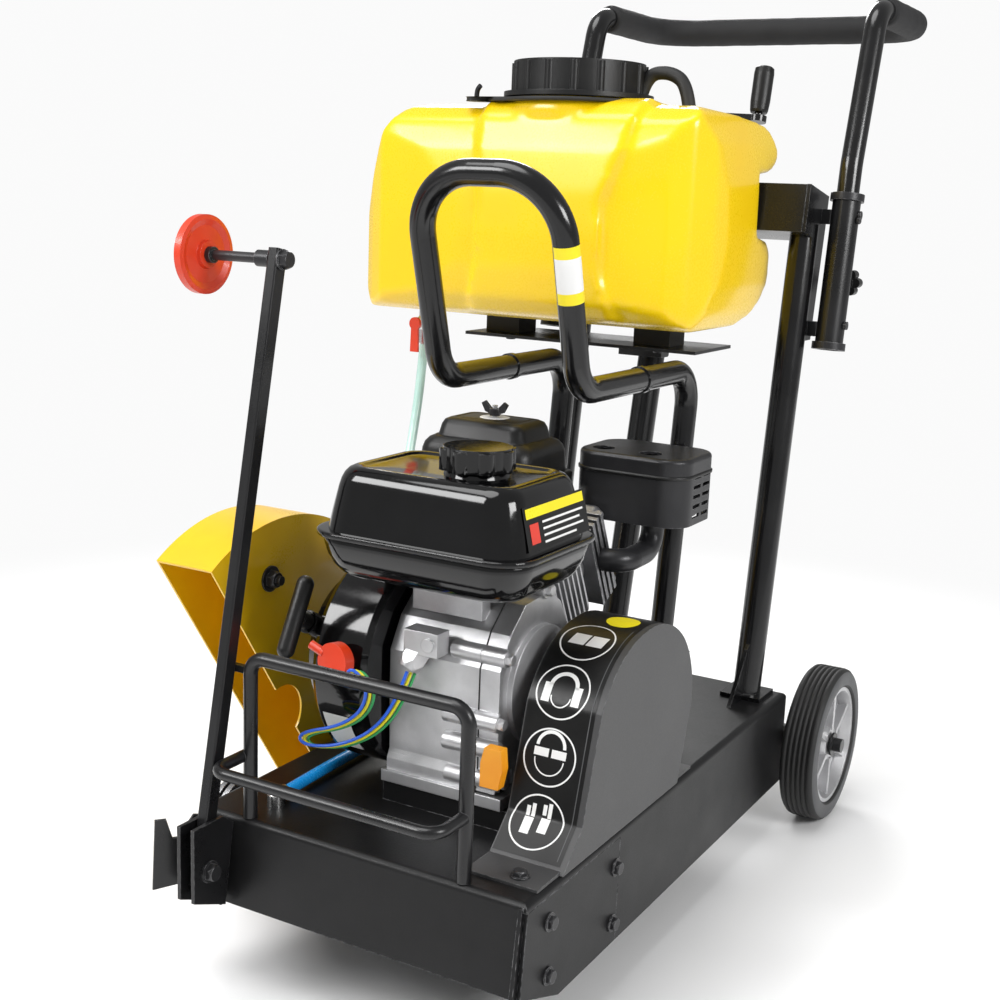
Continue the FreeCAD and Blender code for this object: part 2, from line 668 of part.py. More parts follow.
def rear_tyre(side):
    width = WHEEL_OUT - WHEEL_IN
    profile = [(76, 1), (79, 3), (84, 2), (90, 0), (96, 1.5), (99.2, 5), (WHEEL_R, 8)]
    for h in (0.30, 0.5, 0.70):
        profile += [(WHEEL_R, width * h - 2), (WHEEL_R - 3.5, width * h - 1.3),
                    (WHEEL_R - 3.5, width * h + 1.3),
                    (WHEEL_R, width * h + 2)]
    profile += [(WHEEL_R, width - 8), (99.2, width - 5), (96, width - 1.5), (90, width), (84, width - 2),
                (79, width - 3), (76, width - 1)]
    return turned(profile, vec(side * WHEEL_IN, AXLE_Y, WHEEL_R), X_AXIS * side)


def rear_hub(side):
    """A cast hub: rim, spokes and a bored centre."""
    width = WHEEL_OUT - WHEEL_IN
    base = vec(side * WHEEL_IN, AXLE_Y, WHEEL_R)
    axis = X_AXIS * side
    rim = turned([(69, 4), (76, 4), (76, width - 4), (71, width - 4), (66, width / 2 + 6),
                  (66, width / 2 - 6)], base, axis)
    web = turned([(10, width / 2 - 4), (68, width / 2 - 4), (68, width / 2 + 3), (10, width / 2 + 3)],
                 base, axis)
    centre = turned([(AXLE_R + 0.06, 1), (20, 1), (24, 6), (24, width - 16), (21, width - 10),
                     (AXLE_R + 0.06, width - 10)],
                    base, axis)
    parts = [rim, web, centre]
    for i in range(6):
        spoke = box((5, width - 8), (20, 70), (-3, 3))
        spoke.rotate(vec(0, 0, 0), X_AXIS, 60 * i + 30)
        if side < 0:
            spoke = spoke.mirror(vec(0, 0, 0), X_AXIS)
        spoke.translate(base)
        parts.append(spoke)
    body = join(parts)
    return body.cut(rod(base - axis * 5, base + axis * 60, AXLE_R + 0.06))


def front_wheels():
    """Two solid wheels on a live axle under the base."""
    z = FRONT_WHEEL_R
    parts = [rod(vec(-112, FRONT_AXLE_Y, z), vec(112, FRONT_AXLE_Y, z), 8.0)]
    for side in (-1, 1):
        profile = [(8, -3), (16, -3), (18, 0), (42, 2), (47, 0), (FRONT_WHEEL_R, 4), (FRONT_WHEEL_R, 26),
                   (47, 30),
                   (42, 28), (18, 30), (16, 33), (8, 33)]
        parts.append(turned(profile, vec(side * 78, FRONT_AXLE_Y, z), X_AXIS * side))
    return join(parts)


# ---- water --------------------------------------------------------------------------------

def tank_form(wall):
    """The tank's body with every face set in by the wall."""
    w = wall
    side = [(180 + w, 636 + w), (330 - w, 636 + w), (386 - w, 668), (392 - w, 720), (378 - w, 742 - w),
            (338 - w, 746 - w), (338 - w, 818 + w), (384 - w, 826 + w), (408 - w, 840), (408 - w, 864),
            (392 - w, 878 - w), (318, 884 - w), (180, 892 - w), (152 + w, 866), (150 + w, 700), (158 + w,
                                                                                                 662)]
    body = outline_yz(side, (TANK_X[0] + w, TANK_X[1] - w))
    plan = [(-350 + w, 172), (-210, 146 + w), (-55, 146 + w), (75 - w, 168), (105 - w, 230), (105 - w, 400),
            (88 - w, 420), (22 + w, 420), (10 + w, 347 - w), (-293 - w, 347 - w), (-305 - w, 420), (-364,
                                                                                                    420),
            (-388 + w, 400), (-388 + w, 235)]
    body = body.common(outline_xy(plan, (600, 1000)))
    front = [(-388 + w, 700), (-362 + w, 636), (88 - w, 636), (105 - w, 690), (105 - w, 820), (88 - w, 892),
             (-300, 892), (-345 + w, 830)]
    return body.common(outline_xz(front, (100, 500)))


def water_tank():
    """A blown tank that hugs the crossbeam with a groove along its back."""
    neck = Part.makeCylinder(74, 26, vec(*CAP_AT, 884))
    bore = Part.makeCylinder(68, 60, vec(*CAP_AT, 864))
    body = join([tank_form(0.0), neck])
    return body.cut(tank_form(TANK_WALL)).cut(bore)


def tank_cap():
    """A big ribbed screw cap with a skirt."""
    base = vec(*CAP_AT, 899.3)
    skirt = Part.makeCylinder(90, 6, base)
    crown = Part.makeCylinder(79, 37, base + vec(0, 0, 5))
    ribs = []
    for i in range(16):
        a = math.radians(22.5 * i)
        ribs.append(Part.makeCylinder(5, 35, base + vec(77 * math.cos(a), 77 * math.sin(a), 5)))
    cap = join([skirt, crown] + ribs)
    return cap.cut(Part.makeCylinder(74.4, 28, base - vec(0, 0, 1)))


def tank_platform():
    z = 611.0
    plate = box((-245, 74), (236, 352), (z - 4, z))
    clamp = pipe(lift_axis(z - 22), lift_axis(z - 3), TUBE_R + 5, TUBE_R + 0.02)
    web = box((LIFT_X - 30, LIFT_X + 30), (330, 352), (z - 22, z - 3))
    web = web.cut(rod(lift_axis(500), lift_axis(700), TUBE_R + 0.02))
    left = box((-UPRIGHT_X - 12, -UPRIGHT_X + 12), (328, 352), (z - 4, z))
    body = join([plate, clamp, web, left])
    body = body.cut(rod(lift_axis(500), lift_axis(700), TUBE_R + 0.02))
    body = body.cut(rod(leaned(-UPRIGHT_X, FOOT_Y, 500), leaned(-UPRIGHT_X, FOOT_Y, 700), TUBE_R + 0.02))
    for x in (-205, 5):
        body = body.cut(rod(vec(x, 285, z - 10), vec(x, 285, z + 5), BOLT_HOLE_R))
    return body


def tank_mounts():
    """Rubber blocks between the plate and the tank."""
    blocks = [box((x - 24, x + 24), (262, 308), (611, 636)) for x in (-205, 5)]
    holes = [rod(vec(x, 285, 600), vec(x, 285, 633), 4.05) for x in (-205, 5)]
    return group([block.cut(hole) for block, hole in zip(blocks, holes)])


def mount_bolts():
    """Bolts that hold the tank blocks and the engine, and the pointer's pivot bolt."""
    parts = [bolt(vec(x, 285, 607), (0, 0, -1), 8, 24) for x in (-205, 5)]
    parts.append(pointer_bolt())
    for x in ENGINE_BOLT_X:
        for y in ENGINE_BOLT_Y:
            parts.append(bolt(vec(x, y, 214), (0, 0, 1), 8, 40))
    return group(parts)


def water_tap():
    x, y, z = TAP_AT
    stem = rod(vec(x, y, z - 34), vec(x, y, z + 8), 7.0)
    body = Part.makeSphere(11.0, vec(x, y, z - 8))
    spindle = rod(vec(x, y - 19, z - 8), vec(x, y, z - 8), 4.5)
    barb = turned([(0, 0), (4.6, 0), (5.2, 8), (5.2, 20), (0, 20)], vec(x, y, z - 54), Z_AXIS)
    return join([stem, body, spindle, barb])


def tap_lever():
    x, y, z = TAP_AT
    hub = rod(vec(x, y - 24, z - 8), vec(x, y - 19.3, z - 8), 8.0)
    blade = outline_xz([(x - 5, z - 8), (x + 5, z - 8), (x + 6, z - 44), (x - 6, z - 44)], (y - 24, y - 21))
    return join([hub, blade])


def run_radii(points):
    """Arc radii for a hose: 0.45 of the shorter run, over the tangent of half the turn."""
    radii = []
    for before, corner, after in zip(points, points[1:], points[2:]):
        one = corner - before
        two = after - corner
        turn = one.getAngle(two)
        radii.append(0.45 * min(one.Length, two.Length) / math.tan(turn / 2))
    return radii


def hose(points, radius):
    route = [vec(*p) for p in points]
    radii = run_radii(route)
    return bent_bar(route, radius, radii)


def water_fittings():
    return group([water_tap()] + hose_fittings())


def hose_fittings():
    """An elbow on the deck where the clear hose meets the blue one, and the blue hose's gland."""
    elbow = join([rod(vec(-146, 8, 204), vec(-146, 4, 196), 8.0), Part.makeSphere(8.0, vec(-146, 4, 195)),
                  rod(vec(-146, 4, 195), vec(-142, 0, 189), 8.0), rod(vec(-146, 4, 182), vec(-146, 4, 196),
                                                                      7.0),
                  rod(vec(-146, 4, DECK), vec(-146, 4, DECK + 4), 11.0)])
    gland = join([rod(vec(-125, -285, 188.5), vec(-125, -300, 188.3), 8.2),
                  rod(vec(-125, -300, 172), vec(-125, -300, 192), 8.2),
                  Part.makeSphere(8.2, vec(-125, -300, 188.3))])
    return [elbow, gland]


# ---- lifting bail -------------------------------------------------------------------------

def lifting_bail():
    """A bent tube: two legs on the deck, runs forward over the engine, and a tall arch to lift by."""
    low = [159.0, DECK + 2]
    rear = (206.0, 594.0)
    front = (-81.0, 594.0)
    rise = math.tan(math.radians(16))
    top_z = 805.0
    top_y = front[0] - rise * (top_z - front[1])
    path = []
    for side in (-1, 1):
        leg = [vec(side * BAIL_X, *low), vec(side * BAIL_X, *rear), vec(side * BAIL_X, *front),
               vec(side * BAIL_X, top_y, top_z)]
        path += leg if side < 0 else leg[::-1]
    tube = bent_tube(path, BAIL_R, BAIL_R - 2.5, [40, 40, 66, 66, 40, 40])
    collars = [rod(vec(side * BAIL_X, 62, 594), vec(side * BAIL_X, 70, 594), BAIL_R + 1.5)
               for side in (-1, 1)]
    feet = [box((side * BAIL_X - 24, side * BAIL_X + 24), (136, 184), (DECK, DECK + 5)) for side in (-1, 1)]
    return join([tube] + collars + feet)


# ---- engine -------------------------------------------------------------------------------

def engine_block():
    """Crankcase and finned cylinder in one casting."""
    outline = [(-226, 202), (-226, 226), (-222, 236), (-224, 300), (-224, 340), (-206, 372), (-178, 396),
               (-128, 400),
               (-104, 384), (-76, 340), (-52, 300), (-44, 240), (-44, 202)]
    case = outline_yz(outline, (-42, 62))
    foot = box((-46, 93), (-230, -34), (202, 214))
    parts = [case, foot]
    tilt = math.radians(27)
    up = vec(0, math.cos(tilt), math.sin(tilt))
    start = vec(12, CRANK_Y + 26, CRANK_Z + 13)
    barrel = rod(start, start + up * 150, 40)
    parts.append(barrel)
    for i in range(8):
        fin = Part.makeBox(98, 108, 3.0, vec(-49, -54, 0))
        fin = fin.makeFillet(16, [e for e in fin.Edges if abs(e.Vertexes[0].Z - e.Vertexes[1].Z) > 1])
        fin.Placement = FreeCAD.Placement(start + up * (62 + i * 9.5),
                                          FreeCAD.Rotation(X_AXIS, math.degrees(tilt) - 90))
        parts.append(fin)
    for y, z in ((-216, 352), (-228, 290), (-228, 262), (-222, 226), (-140, 404)):
        parts.append(rod(vec(28, y, z), vec(62, y, z), 9))
    for y in (-196, -120):
        parts.append(box((-30, 50), (y - 8, y + 8), (380, 423.7)))
    body = join(parts)
    body = body.cut(rod(vec(-60, CRANK_Y, CRANK_Z), vec(70, CRANK_Y, CRANK_Z), 38))
    for x in ENGINE_BOLT_X:
        for y in ENGINE_BOLT_Y:
            body = body.cut(rod(vec(x, y, 195), vec(x, y, 216), BOLT_HOLE_R))
    for pocket in bolt_pockets():
        body = body.cut(pocket)
    return body


def bolt_pockets():
    """Room above the feet for the four mounting bolts."""
    return [box((x - 16, x + 16), (y - 15, y + 15), (214, 232)) for x in (-36.0, 76.0) for y in (-208.0,
                                                                                                 -56.0)]


def crankcase_cover():
    outline = [(-226, 216), (-222, 236), (-224, 300), (-224, 340), (-206, 372), (-178, 396), (-128, 400),
               (-104, 384), (-76, 340), (-52, 300), (-46, 240), (-46, 216)]
    cover = outline_yz(outline, (62.3, 84))
    parts = [cover, turned([(60, 0), (60, 6), (34, 14), (26, 20), (0, 20), (0, 0)],
                           vec(84, CRANK_Y, CRANK_Z), X_AXIS)]
    for y, z in ((-216, 352), (-228, 290), (-228, 262), (-222, 228), (-140, 404), (-66, 330), (-50, 240)):
        parts.append(rod(vec(62.3, y, z), vec(88, y, z), 9))
        parts.append(hexagon(11, vec(88, y, z), X_AXIS, 6))
    seat = vec(*DIPSTICK_AT)
    out = vec(*DIPSTICK_OUT)
    parts.append(rod(seat - out * 34, seat, 9))
    body = join(parts)
    body = body.cut(rod(seat - out * 32, seat + out, 5.1))
    for pocket in bolt_pockets():
        body = body.cut(pocket)
    return body.cut(rod(vec(60, CRANK_Y, CRANK_Z), vec(110, CRANK_Y, CRANK_Z), 10.1))


def cylinder_head():
    """Head casting and pressed rocker cover, square to the cylinder."""
    tilt = math.radians(27)
    up = vec(0, math.cos(tilt), math.sin(tilt))
    start = vec(12, CRANK_Y + 26, CRANK_Z + 13)
    frame = FreeCAD.Rotation(X_AXIS, math.degrees(tilt) - 90)
    head = Part.makeBox(112, 104, 34, vec(-56, -52, 0))
    for i in range(3):
        head = head.cut(Part.makeBox(30, 120, 5, vec(34, -60, 4 + i * 10)))
    cover = Part.makeBox(84, 84, 26, vec(-42, -42, 34))
    cover = cover.makeFillet(8, [e for e in cover.Edges
                                 if e.BoundBox.ZMin > 59 or abs(e.BoundBox.ZLength) > 20])
    bolts = [hexagon(10, vec(x, y, 34), Z_AXIS, 6) for x in (-49, 49) for y in (-45, 45)]
    body = join([head, cover] + bolts)
    body.Placement = FreeCAD.Placement(start + up * 150.3, frame)
    return body


def blower_shroud():
    """The fan housing on the flywheel side, with the plate that carries the throttle lever."""
    base = vec(-47, CRANK_Y, CRANK_Z)
    drum = turned([(0, 0), (108, 0), (113, 5), (113, 58), (104, 68), (70, 72), (0, 72)], base, X_AXIS * -1)
    hollow = turned([(0, 4), (104, 4), (109, 8), (109, 56), (100, 64), (60, 68), (0, 68)], base,
                    X_AXIS * -1)
    duct = box((-112, -47), (CRANK_Y + 20, 25), (CRANK_Z + 30, CRANK_Z + 116))
    duct_in = box((-108, -51), (CRANK_Y + 20, 21), (CRANK_Z + 34, CRANK_Z + 112))
    shell = drum.fuse(duct).cut(hollow).cut(duct_in)
    shell = shell.cut(rod(vec(-60, CRANK_Y, CRANK_Z), vec(-40, CRANK_Y, CRANK_Z), 40))
    shell = shell.cut(rod(vec(-125, CRANK_Y, CRANK_Z), vec(-110, CRANK_Y, CRANK_Z), 55))
    foot = vec(*LEVER_AT, CRANK_Z + 114)
    plate = box((LEVER_AT[0] - 18, LEVER_AT[0] + 18), (LEVER_AT[1] - 16, LEVER_AT[1] + 16), (462, 465.7))
    post = rod(foot, vec(*LEVER_AT, 464), 6)
    pin = rod(vec(*LEVER_AT, 464), vec(*LEVER_AT, 474), 3)
    return join([shell, plate, post, pin])


def recoil_starter():
    base = vec(-119.3, CRANK_Y, CRANK_Z)
    cup = turned([(0, 0), (84, 0), (84, 4), (76, 22), (66, 30), (0, 30)], base, X_AXIS * -1)
    cup = cup.cut(turned([(0, -1), (66, -1), (62, 20), (0, 26)], base, X_AXIS * -1))
    for i in range(12):
        slot = box((-155, -140), (CRANK_Y + 26, CRANK_Y + 56), (CRANK_Z - 4, CRANK_Z + 4))
        slot.rotate(vec(0, CRANK_Y, CRANK_Z), X_AXIS, 30 * i + 15)
        cup = cup.cut(slot)
    guide = rod(vec(-132, CRANK_Y - 60, CRANK_Z + 30), vec(-132, CRANK_Y - 92, CRANK_Z + 46), 12)
    guide = guide.cut(rod(vec(-132, CRANK_Y - 40, CRANK_Z + 20), vec(-132, CRANK_Y - 100, CRANK_Z + 50), 4))
    return join([cup, guide])


def starter_grip():
    out = vec(*STARTER_PULL)
    at = vec(-132, CRANK_Y - 92, CRANK_Z + 46) + out * 1.0
    cross = vec(0, 0.447, 0.894)
    stem = rod(at, at + out * 14, 9)
    bar = rod(at + out * 20 - cross * 34, at + out * 20 + cross * 34, 9)
    return join([stem, bar, Part.makeSphere(9, at + out * 20 - cross * 34),
                 Part.makeSphere(9, at + out * 20 + cross * 34)])


def engine_switch():
    at = vec(-70, -270, 334)
    out = vec(-0.15, -1, 0.1).normalize()
    knob = rod(at, at + out * 12, 19)
    tab = rod(at + out * 6 + vec(-14, 0, 6), at + out * 6 + vec(-30, 0, 12), 4.5)
    stem = rod(at - out * 3, at, 5)
    return join([knob, tab, stem])


def fuel_form(wall):
    """Both halves of the pressed fuel tank, set in by the wall."""
    w = wall
    bottom = outline_xz([(-66 + w, 424 + w), (118 - w, 424 + w), (140 - w, 446), (143 - w, 466 + w),
                         (-91 + w, 466 + w), (-88 + w, 446)], (-302 + w, -134 - w))
    trim = outline_yz([(-286 + w, 424 + w), (-148 - w, 424 + w), (-130 - w, 452), (-130 - w, 466 + w),
                       (-305 + w, 466 + w), (-302 + w, 446)], (-120, 160))
    top = outline_xz([(-84 + w, 466), (136 - w, 466), (122 - w, 526 - w), (112 - w, 531 - w),
                      (-58 + w, 531 - w),
                      (-68 + w, 526 - w)], (-300 + w, -136 - w))
    cut = outline_yz([(-299 + w, 466), (-137 - w, 466), (-146 - w, 526 - w), (-154, 531 - w),
                      (-276, 531 - w),
                      (-286 + w, 526 - w)], (-120, 160))
    return bottom.common(trim).fuse(top.common(cut))


def fuel_tank():
    rim = Part.makeBox(236, 178, 4, vec(-92, -306, 466))
    rim = rim.makeFillet(24, [e for e in rim.Edges if abs(e.Vertexes[0].Z - e.Vertexes[1].Z) > 1])
    neck = Part.makeCylinder(27, 8, vec(*FUEL_CAP_AT, 530))
    body = join([fuel_form(0.0), rim, neck])
    return body.cut(fuel_form(2.0)).cut(Part.makeCylinder(22, 30, vec(*FUEL_CAP_AT, 520)))


def fuel_cap():
    base = vec(*FUEL_CAP_AT, 533.5)
    crown = Part.makeCylinder(33, 22, base)
    for i in range(8):
        a = math.radians(45 * i)
        crown = crown.fuse(Part.makeCylinder(9, 20, base + vec(28 * math.cos(a), 28 * math.sin(a), 0)))
    crown = crown.removeSplitter()
    return crown.cut(Part.makeCylinder(27.4, 5.5, base - vec(0, 0, 0.5)))


def air_cleaner():
    """Filter base and its cover, a rounded box with a raised lid."""
    tray = box((-150, 0), (-34, 84), (462, 482))
    body = box((-146, 0), (-30, 80), (482.0, 520))
    body = body.makeFillet(16, [e for e in body.Edges if abs(e.Vertexes[0].Z - e.Vertexes[1].Z) > 10])
    lid = box((-134, -12), (-18, 68), (519, 540))
    lid = lid.makeFillet(14, [e for e in lid.Edges if abs(e.Vertexes[0].Z - e.Vertexes[1].Z) > 10])
    stud = rod(vec(-76, 26, 538), vec(-76, 26, 554), 3.0)
    return join([tray, body, lid, stud])


def cleaner_nut():
    base = vec(-76, 26, 542.3)
    hub = Part.makeCylinder(6, 8, base)
    wings = []
    for side in (-1, 1):
        wing = outline_xz([(side * 4, 1), (side * 12, 4), (side * 17, 13), (side * 12, 16), (side * 4, 8)],
                          (-1.6, 1.6))
        wing.translate(base)
        wings.append(wing)
    hub = join([hub] + wings)
    return hub.cut(rod(base - vec(0, 0, 1), base + vec(0, 0, 20), 3.05))


def carburettor():
    """Body, float bowl and the throat that feeds the head."""
    body = box((-98, -64), (-10, 24), (440, 461.7))
    bowl = Part.makeCylinder(16, 16, vec(-81, 7, 427.3))
    throat = rod(vec(-66, 7, 437.5), vec(-44.3, 7, 437.5), 10)
    body = body.fuse(box((-80, -64), (-3, 17), (427.5, 445)))
    return join([body, bowl, throat])


def throttle_lever():
    at = vec(*LEVER_AT, 466)
    hub = rod(at, at + vec(0, 0, 6), 9)
    arm = box((LEVER_AT[0] - 48, LEVER_AT[0]), (LEVER_AT[1] - 4, LEVER_AT[1] + 4), (466, 469))
    tip = rod(at + vec(-48, 0, 0), at + vec(-48, 0, 22), 5)
    return join([hub, arm, tip]).cut(rod(at - vec(0, 0, 2), at + vec(0, 0, 10), 3.05))


def muffler():
    """Muffler can inside a slotted heat shield, with its elbow to the head."""
    outer = box((4, 140), (62, 168), (434, 510))
    upright = [e for e in outer.Edges if abs(e.Vertexes[0].Z - e.Vertexes[1].Z) > 10]
    outer = outer.makeFillet(30, upright)
    outer = outer.makeFillet(5, [e for e in outer.Edges if e.BoundBox.ZMin > 509])
    inner = box((7, 137), (65, 165), (430, 507))
    upright = [e for e in inner.Edges if abs(e.Vertexes[0].Z - e.Vertexes[1].Z) > 10]
    inner = inner.makeFillet(27, upright)
    shield = outer.cut(inner)
    for col in (0, 1):
        for row in range(5):
            slot = box((130, 150), (96 + col * 26, 116 + col * 26), (442 + row * 11, 446 + row * 11))
            shield = shield.cut(slot)
    for x in (30, 88):
        shield = shield.cut(Part.makeCylinder(13, 20, vec(x, 92, 500)))
    can = box((16, 128), (74, 156), (438, 496))
    can = can.makeFillet(24, [e for e in can.Edges if abs(e.Vertexes[0].Z - e.Vertexes[1].Z) > 10])
    can = can.cut(box((20, 124), (78, 152), (442, 492)))
    posts = [rod(vec(x, 118, 494), vec(x, 118, 509), 8) for x in (44, 104)]
    elbow = bent_bar([vec(92, 100, 441), vec(92, 100, 400), vec(92, 25, 399), vec(68.3, 25, 399)], 13,
                     [24, 22])
    return join([shield, can] + posts + [elbow])


def ignition_box():
    """The oil sensor's housing on the front of the crankcase."""
    body = box((-12, 26), (-246, -224.3), (348, 372))
    nut = hexagon(24, vec(-2, -234, 348), vec(-0.3, -0.5, -0.8), 20)
    ear = rod(vec(16, -226, 360), vec(16, -249, 360), 7)
    return join([body, nut, ear])


def dipstick():
    out = vec(*DIPSTICK_OUT)
    seat = vec(*DIPSTICK_AT)
    at = seat + out * 14
    cap = outline_xz([(-12, -20), (8, -20), (12, 0), (10, 20), (-8, 20), (-12, 4)], (-6, 6))
    cap.translate(at)
    stem = rod(seat - out * 22, at, 5)
    return join([cap, stem])


def wiring():
    """Insulated leads looped between the switch and the sensor housing."""
    shapes = []
    for offset in (0.0, 4.0, 8.0):
        route = [vec(x + offset * 0.5, y + offset, z - offset * 0.4) for x, y, z in WIRE_POINTS]
        shapes.append(bent_bar(route, WIRE_R, run_radii(route)))
    return group(shapes)


def engine_rails():
    """Two risers between the deck and the engine's feet."""
    rails = []
    for y in ENGINE_BOLT_Y:
        rail = box((-46, 100), (y - 18, y + 18), (DECK, 202))
        for x in ENGINE_BOLT_X:
            rail = rail.cut(rod(vec(x, y, DECK - 1), vec(x, y, 204), BOLT_HOLE_R))
        rails.append(rail)
    return rails


# ---- drive --------------------------------------------------------------------------------

def grooved(radius, width, axis_at, inner):
    """A V-belt pulley with one groove for each belt."""
    grooves = [(inner, 0), (radius + 5, 0)]
    for x in BELT_X:
        mid = x - (BELT_X[0] - width / 4 - 0.5)
        grooves += [(radius + 5, mid - 5), (radius - 6, mid - 3), (radius - 6, mid + 3),
                    (radius + 5, mid + 5)]
    grooves += [(radius + 5, width), (inner, width)]
    return turned(grooves, axis_at, X_AXIS)


def crankshaft():
    """Crankshaft, flywheel and the drive pulley on its outer end."""
    y, z = CRANK_Y, CRANK_Z
    shaft = rod(vec(-112, y, z), vec(176, y, z), 10.0)
    web = rod(vec(-6, y, z), vec(30, y, z), 34)
    wheel = turned([(0, 0), (96, 0), (96, 20), (30, 26), (0, 26)], vec(-58, y, z), X_AXIS * -1)
    pulley = grooved(ENGINE_PULLEY_R, 32, vec(137, y, z), 9.5)
    return join([shaft, web, wheel, pulley])


def blade_shaft():
    """Arbor shaft with its pulley, inner flange and outer flange."""
    y, z = BLADE_Y, BLADE_Z
    shaft = rod(vec(-214, y, z), vec(176, y, z), 15.0)
    arbor = rod(vec(-262, y, z), vec(-213, y, z), ARBOR_R)
    pulley = grooved(BLADE_PULLEY_R, 32, vec(137, y, z), 14.5)
    flange = turned([(12, 0), (20, 0), (24, 8), (42, 10), (42, 16), (12, 16)], vec(FLANGE_X, y, z),
                    X_AXIS * -1)
    return join([shaft, arbor, pulley, flange])


def blade_flange():
    """Loose outer flange and the nut that clamps the blade."""
    y, z = BLADE_Y, BLADE_Z
    flange = turned([(ARBOR_R, 0), (42, 0), (42, 6), (26, 10), (ARBOR_R, 10)], vec(FLANGE_X - 20, y, z),
                    X_AXIS * -1)
    nut = hexagon(36, vec(FLANGE_X - 30, y, z), X_AXIS * -1, 14)
    nut = nut.cut(rod(vec(-280, y, z), vec(-235, y, z), ARBOR_R))
    return join([flange, nut])


def shaft_bearings():
    """Two pillow blocks under the deck."""
    parts = []
    for x in (-150.0, 98.0):
        ring = rod(vec(x - 17, BLADE_Y, BLADE_Z), vec(x + 17, BLADE_Y, BLADE_Z), 33)
        foot = box((x - 17, x + 17), (BLADE_Y - 62, BLADE_Y + 62), (158, DECK - SHEET))
        neck = box((x - 14, x + 14), (BLADE_Y - 30, BLADE_Y + 30), (BLADE_Z, 160))
        block = join([ring, foot, neck])
        parts.append(block.cut(rod(vec(x - 20, BLADE_Y, BLADE_Z), vec(x + 20, BLADE_Y, BLADE_Z), 15.05)))
    return group(parts)


def v_belts():
    """Two belts round both pulleys, outside their grooves by a hair."""
    big, small = ENGINE_PULLEY_R + 5.4, BLADE_PULLEY_R + 5.4
    start = vec(0, CRANK_Y, CRANK_Z)
    end = vec(0, BLADE_Y, BLADE_Z)
    run = end - start
    turn = math.asin((big - small) / run.Length)
    along = run.normalize()
    distance = (end - start).Length
    side = vec(0, -along.z, along.y)

    def loop(extra):
        points = []
        for s in (1, -1):
            normal = side * (s * math.cos(turn)) + along * math.sin(turn)
            points.append((start + normal * (big + extra), end + normal * (small + extra)))
        top = start - along * (big + extra)
        low = end + along * (small + extra)
        edges = [
            Part.LineSegment(points[0][0], points[0][1]).toShape(),
            Part.Arc(points[0][1], low, points[1][1]).toShape(),
            Part.LineSegment(points[1][1], points[1][0]).toShape(),
            Part.Arc(points[1][0], top, points[0][0]).toShape(),
        ]
        return Part.Face(Part.Wire(edges))

    belts = []
    for x in BELT_X:
        ring = loop(5.0).cut(loop(0.0))
        ring.translate(vec(x - 4.5, 0, 0))
        belts.append(ring.extrude(vec(9, 0, 0)))
    return group(belts)


# ---- blade guard --------------------------------------------------------------------------

def blade_guard():
    """A half drum, open below, drawn over the shaft and then swung up about its pivot."""
    skin = 2.5
    profile = rod(vec(GUARD_OUT, 0, 0), vec(GUARD_IN, 0, 0), GUARD_R)
    hollow = rod(vec(GUARD_OUT + skin, 0, 0), vec(GUARD_IN - skin, 0, 0), GUARD_R - skin)
    shell = profile.cut(hollow)
    shell = shell.cut(box((GUARD_OUT - 5, GUARD_IN + 5), (-300, 300), (-300, 0)))
    shell = shell.cut(rod(vec(GUARD_IN - 5, 8, -8), vec(GUARD_IN + 5, 8, -8), 33))
    shell = shell.cut(rod(vec(GUARD_IN - 5, *GUARD_PIVOT), vec(GUARD_IN + 5, *GUARD_PIVOT), 8.05))
    shell = shell.cut(rod(vec(GUARD_IN - 5, -136, 61), vec(GUARD_IN + 5, -136, 61), 5.05))
    return swung(shell)


def swung(shape):
    shape.rotate(vec(0, *GUARD_PIVOT), X_AXIS, -math.degrees(GUARD_OPEN))
    shape.translate(vec(0, BLADE_Y, BLADE_Z))
    return shape


def guard_bolt():
    parts = [
        rod(vec(GUARD_IN - 8, -136, 61), vec(GUARD_IN + 16, -136, 61), 5.0),
        rod(vec(GUARD_IN, -136, 61), vec(GUARD_IN + 2, -136, 61), 14.0),
        hexagon(17, vec(GUARD_IN + 2, -136, 61), X_AXIS, 9),
        hexagon(16, vec(GUARD_IN - 2.5, -136, 61), X_AXIS * -1, 7),
    ]
    return swung(join(parts))


def guard_pivot():
    """The pin on the left skirt that the blade guard swings on."""
    y, z = BLADE_Y + GUARD_PIVOT[0], BLADE_Z + GUARD_PIVOT[1]
    return join([
        rod(vec(-BASE_HALF, y, z), vec(GUARD_IN + 0.4, y, z), 20),
        rod(vec(GUARD_IN - 12, y, z), vec(-BASE_HALF, y, z), 8.0),
        rod(vec(GUARD_IN - 12, y, z), vec(GUARD_IN - 3, y, z), 14),
    ])


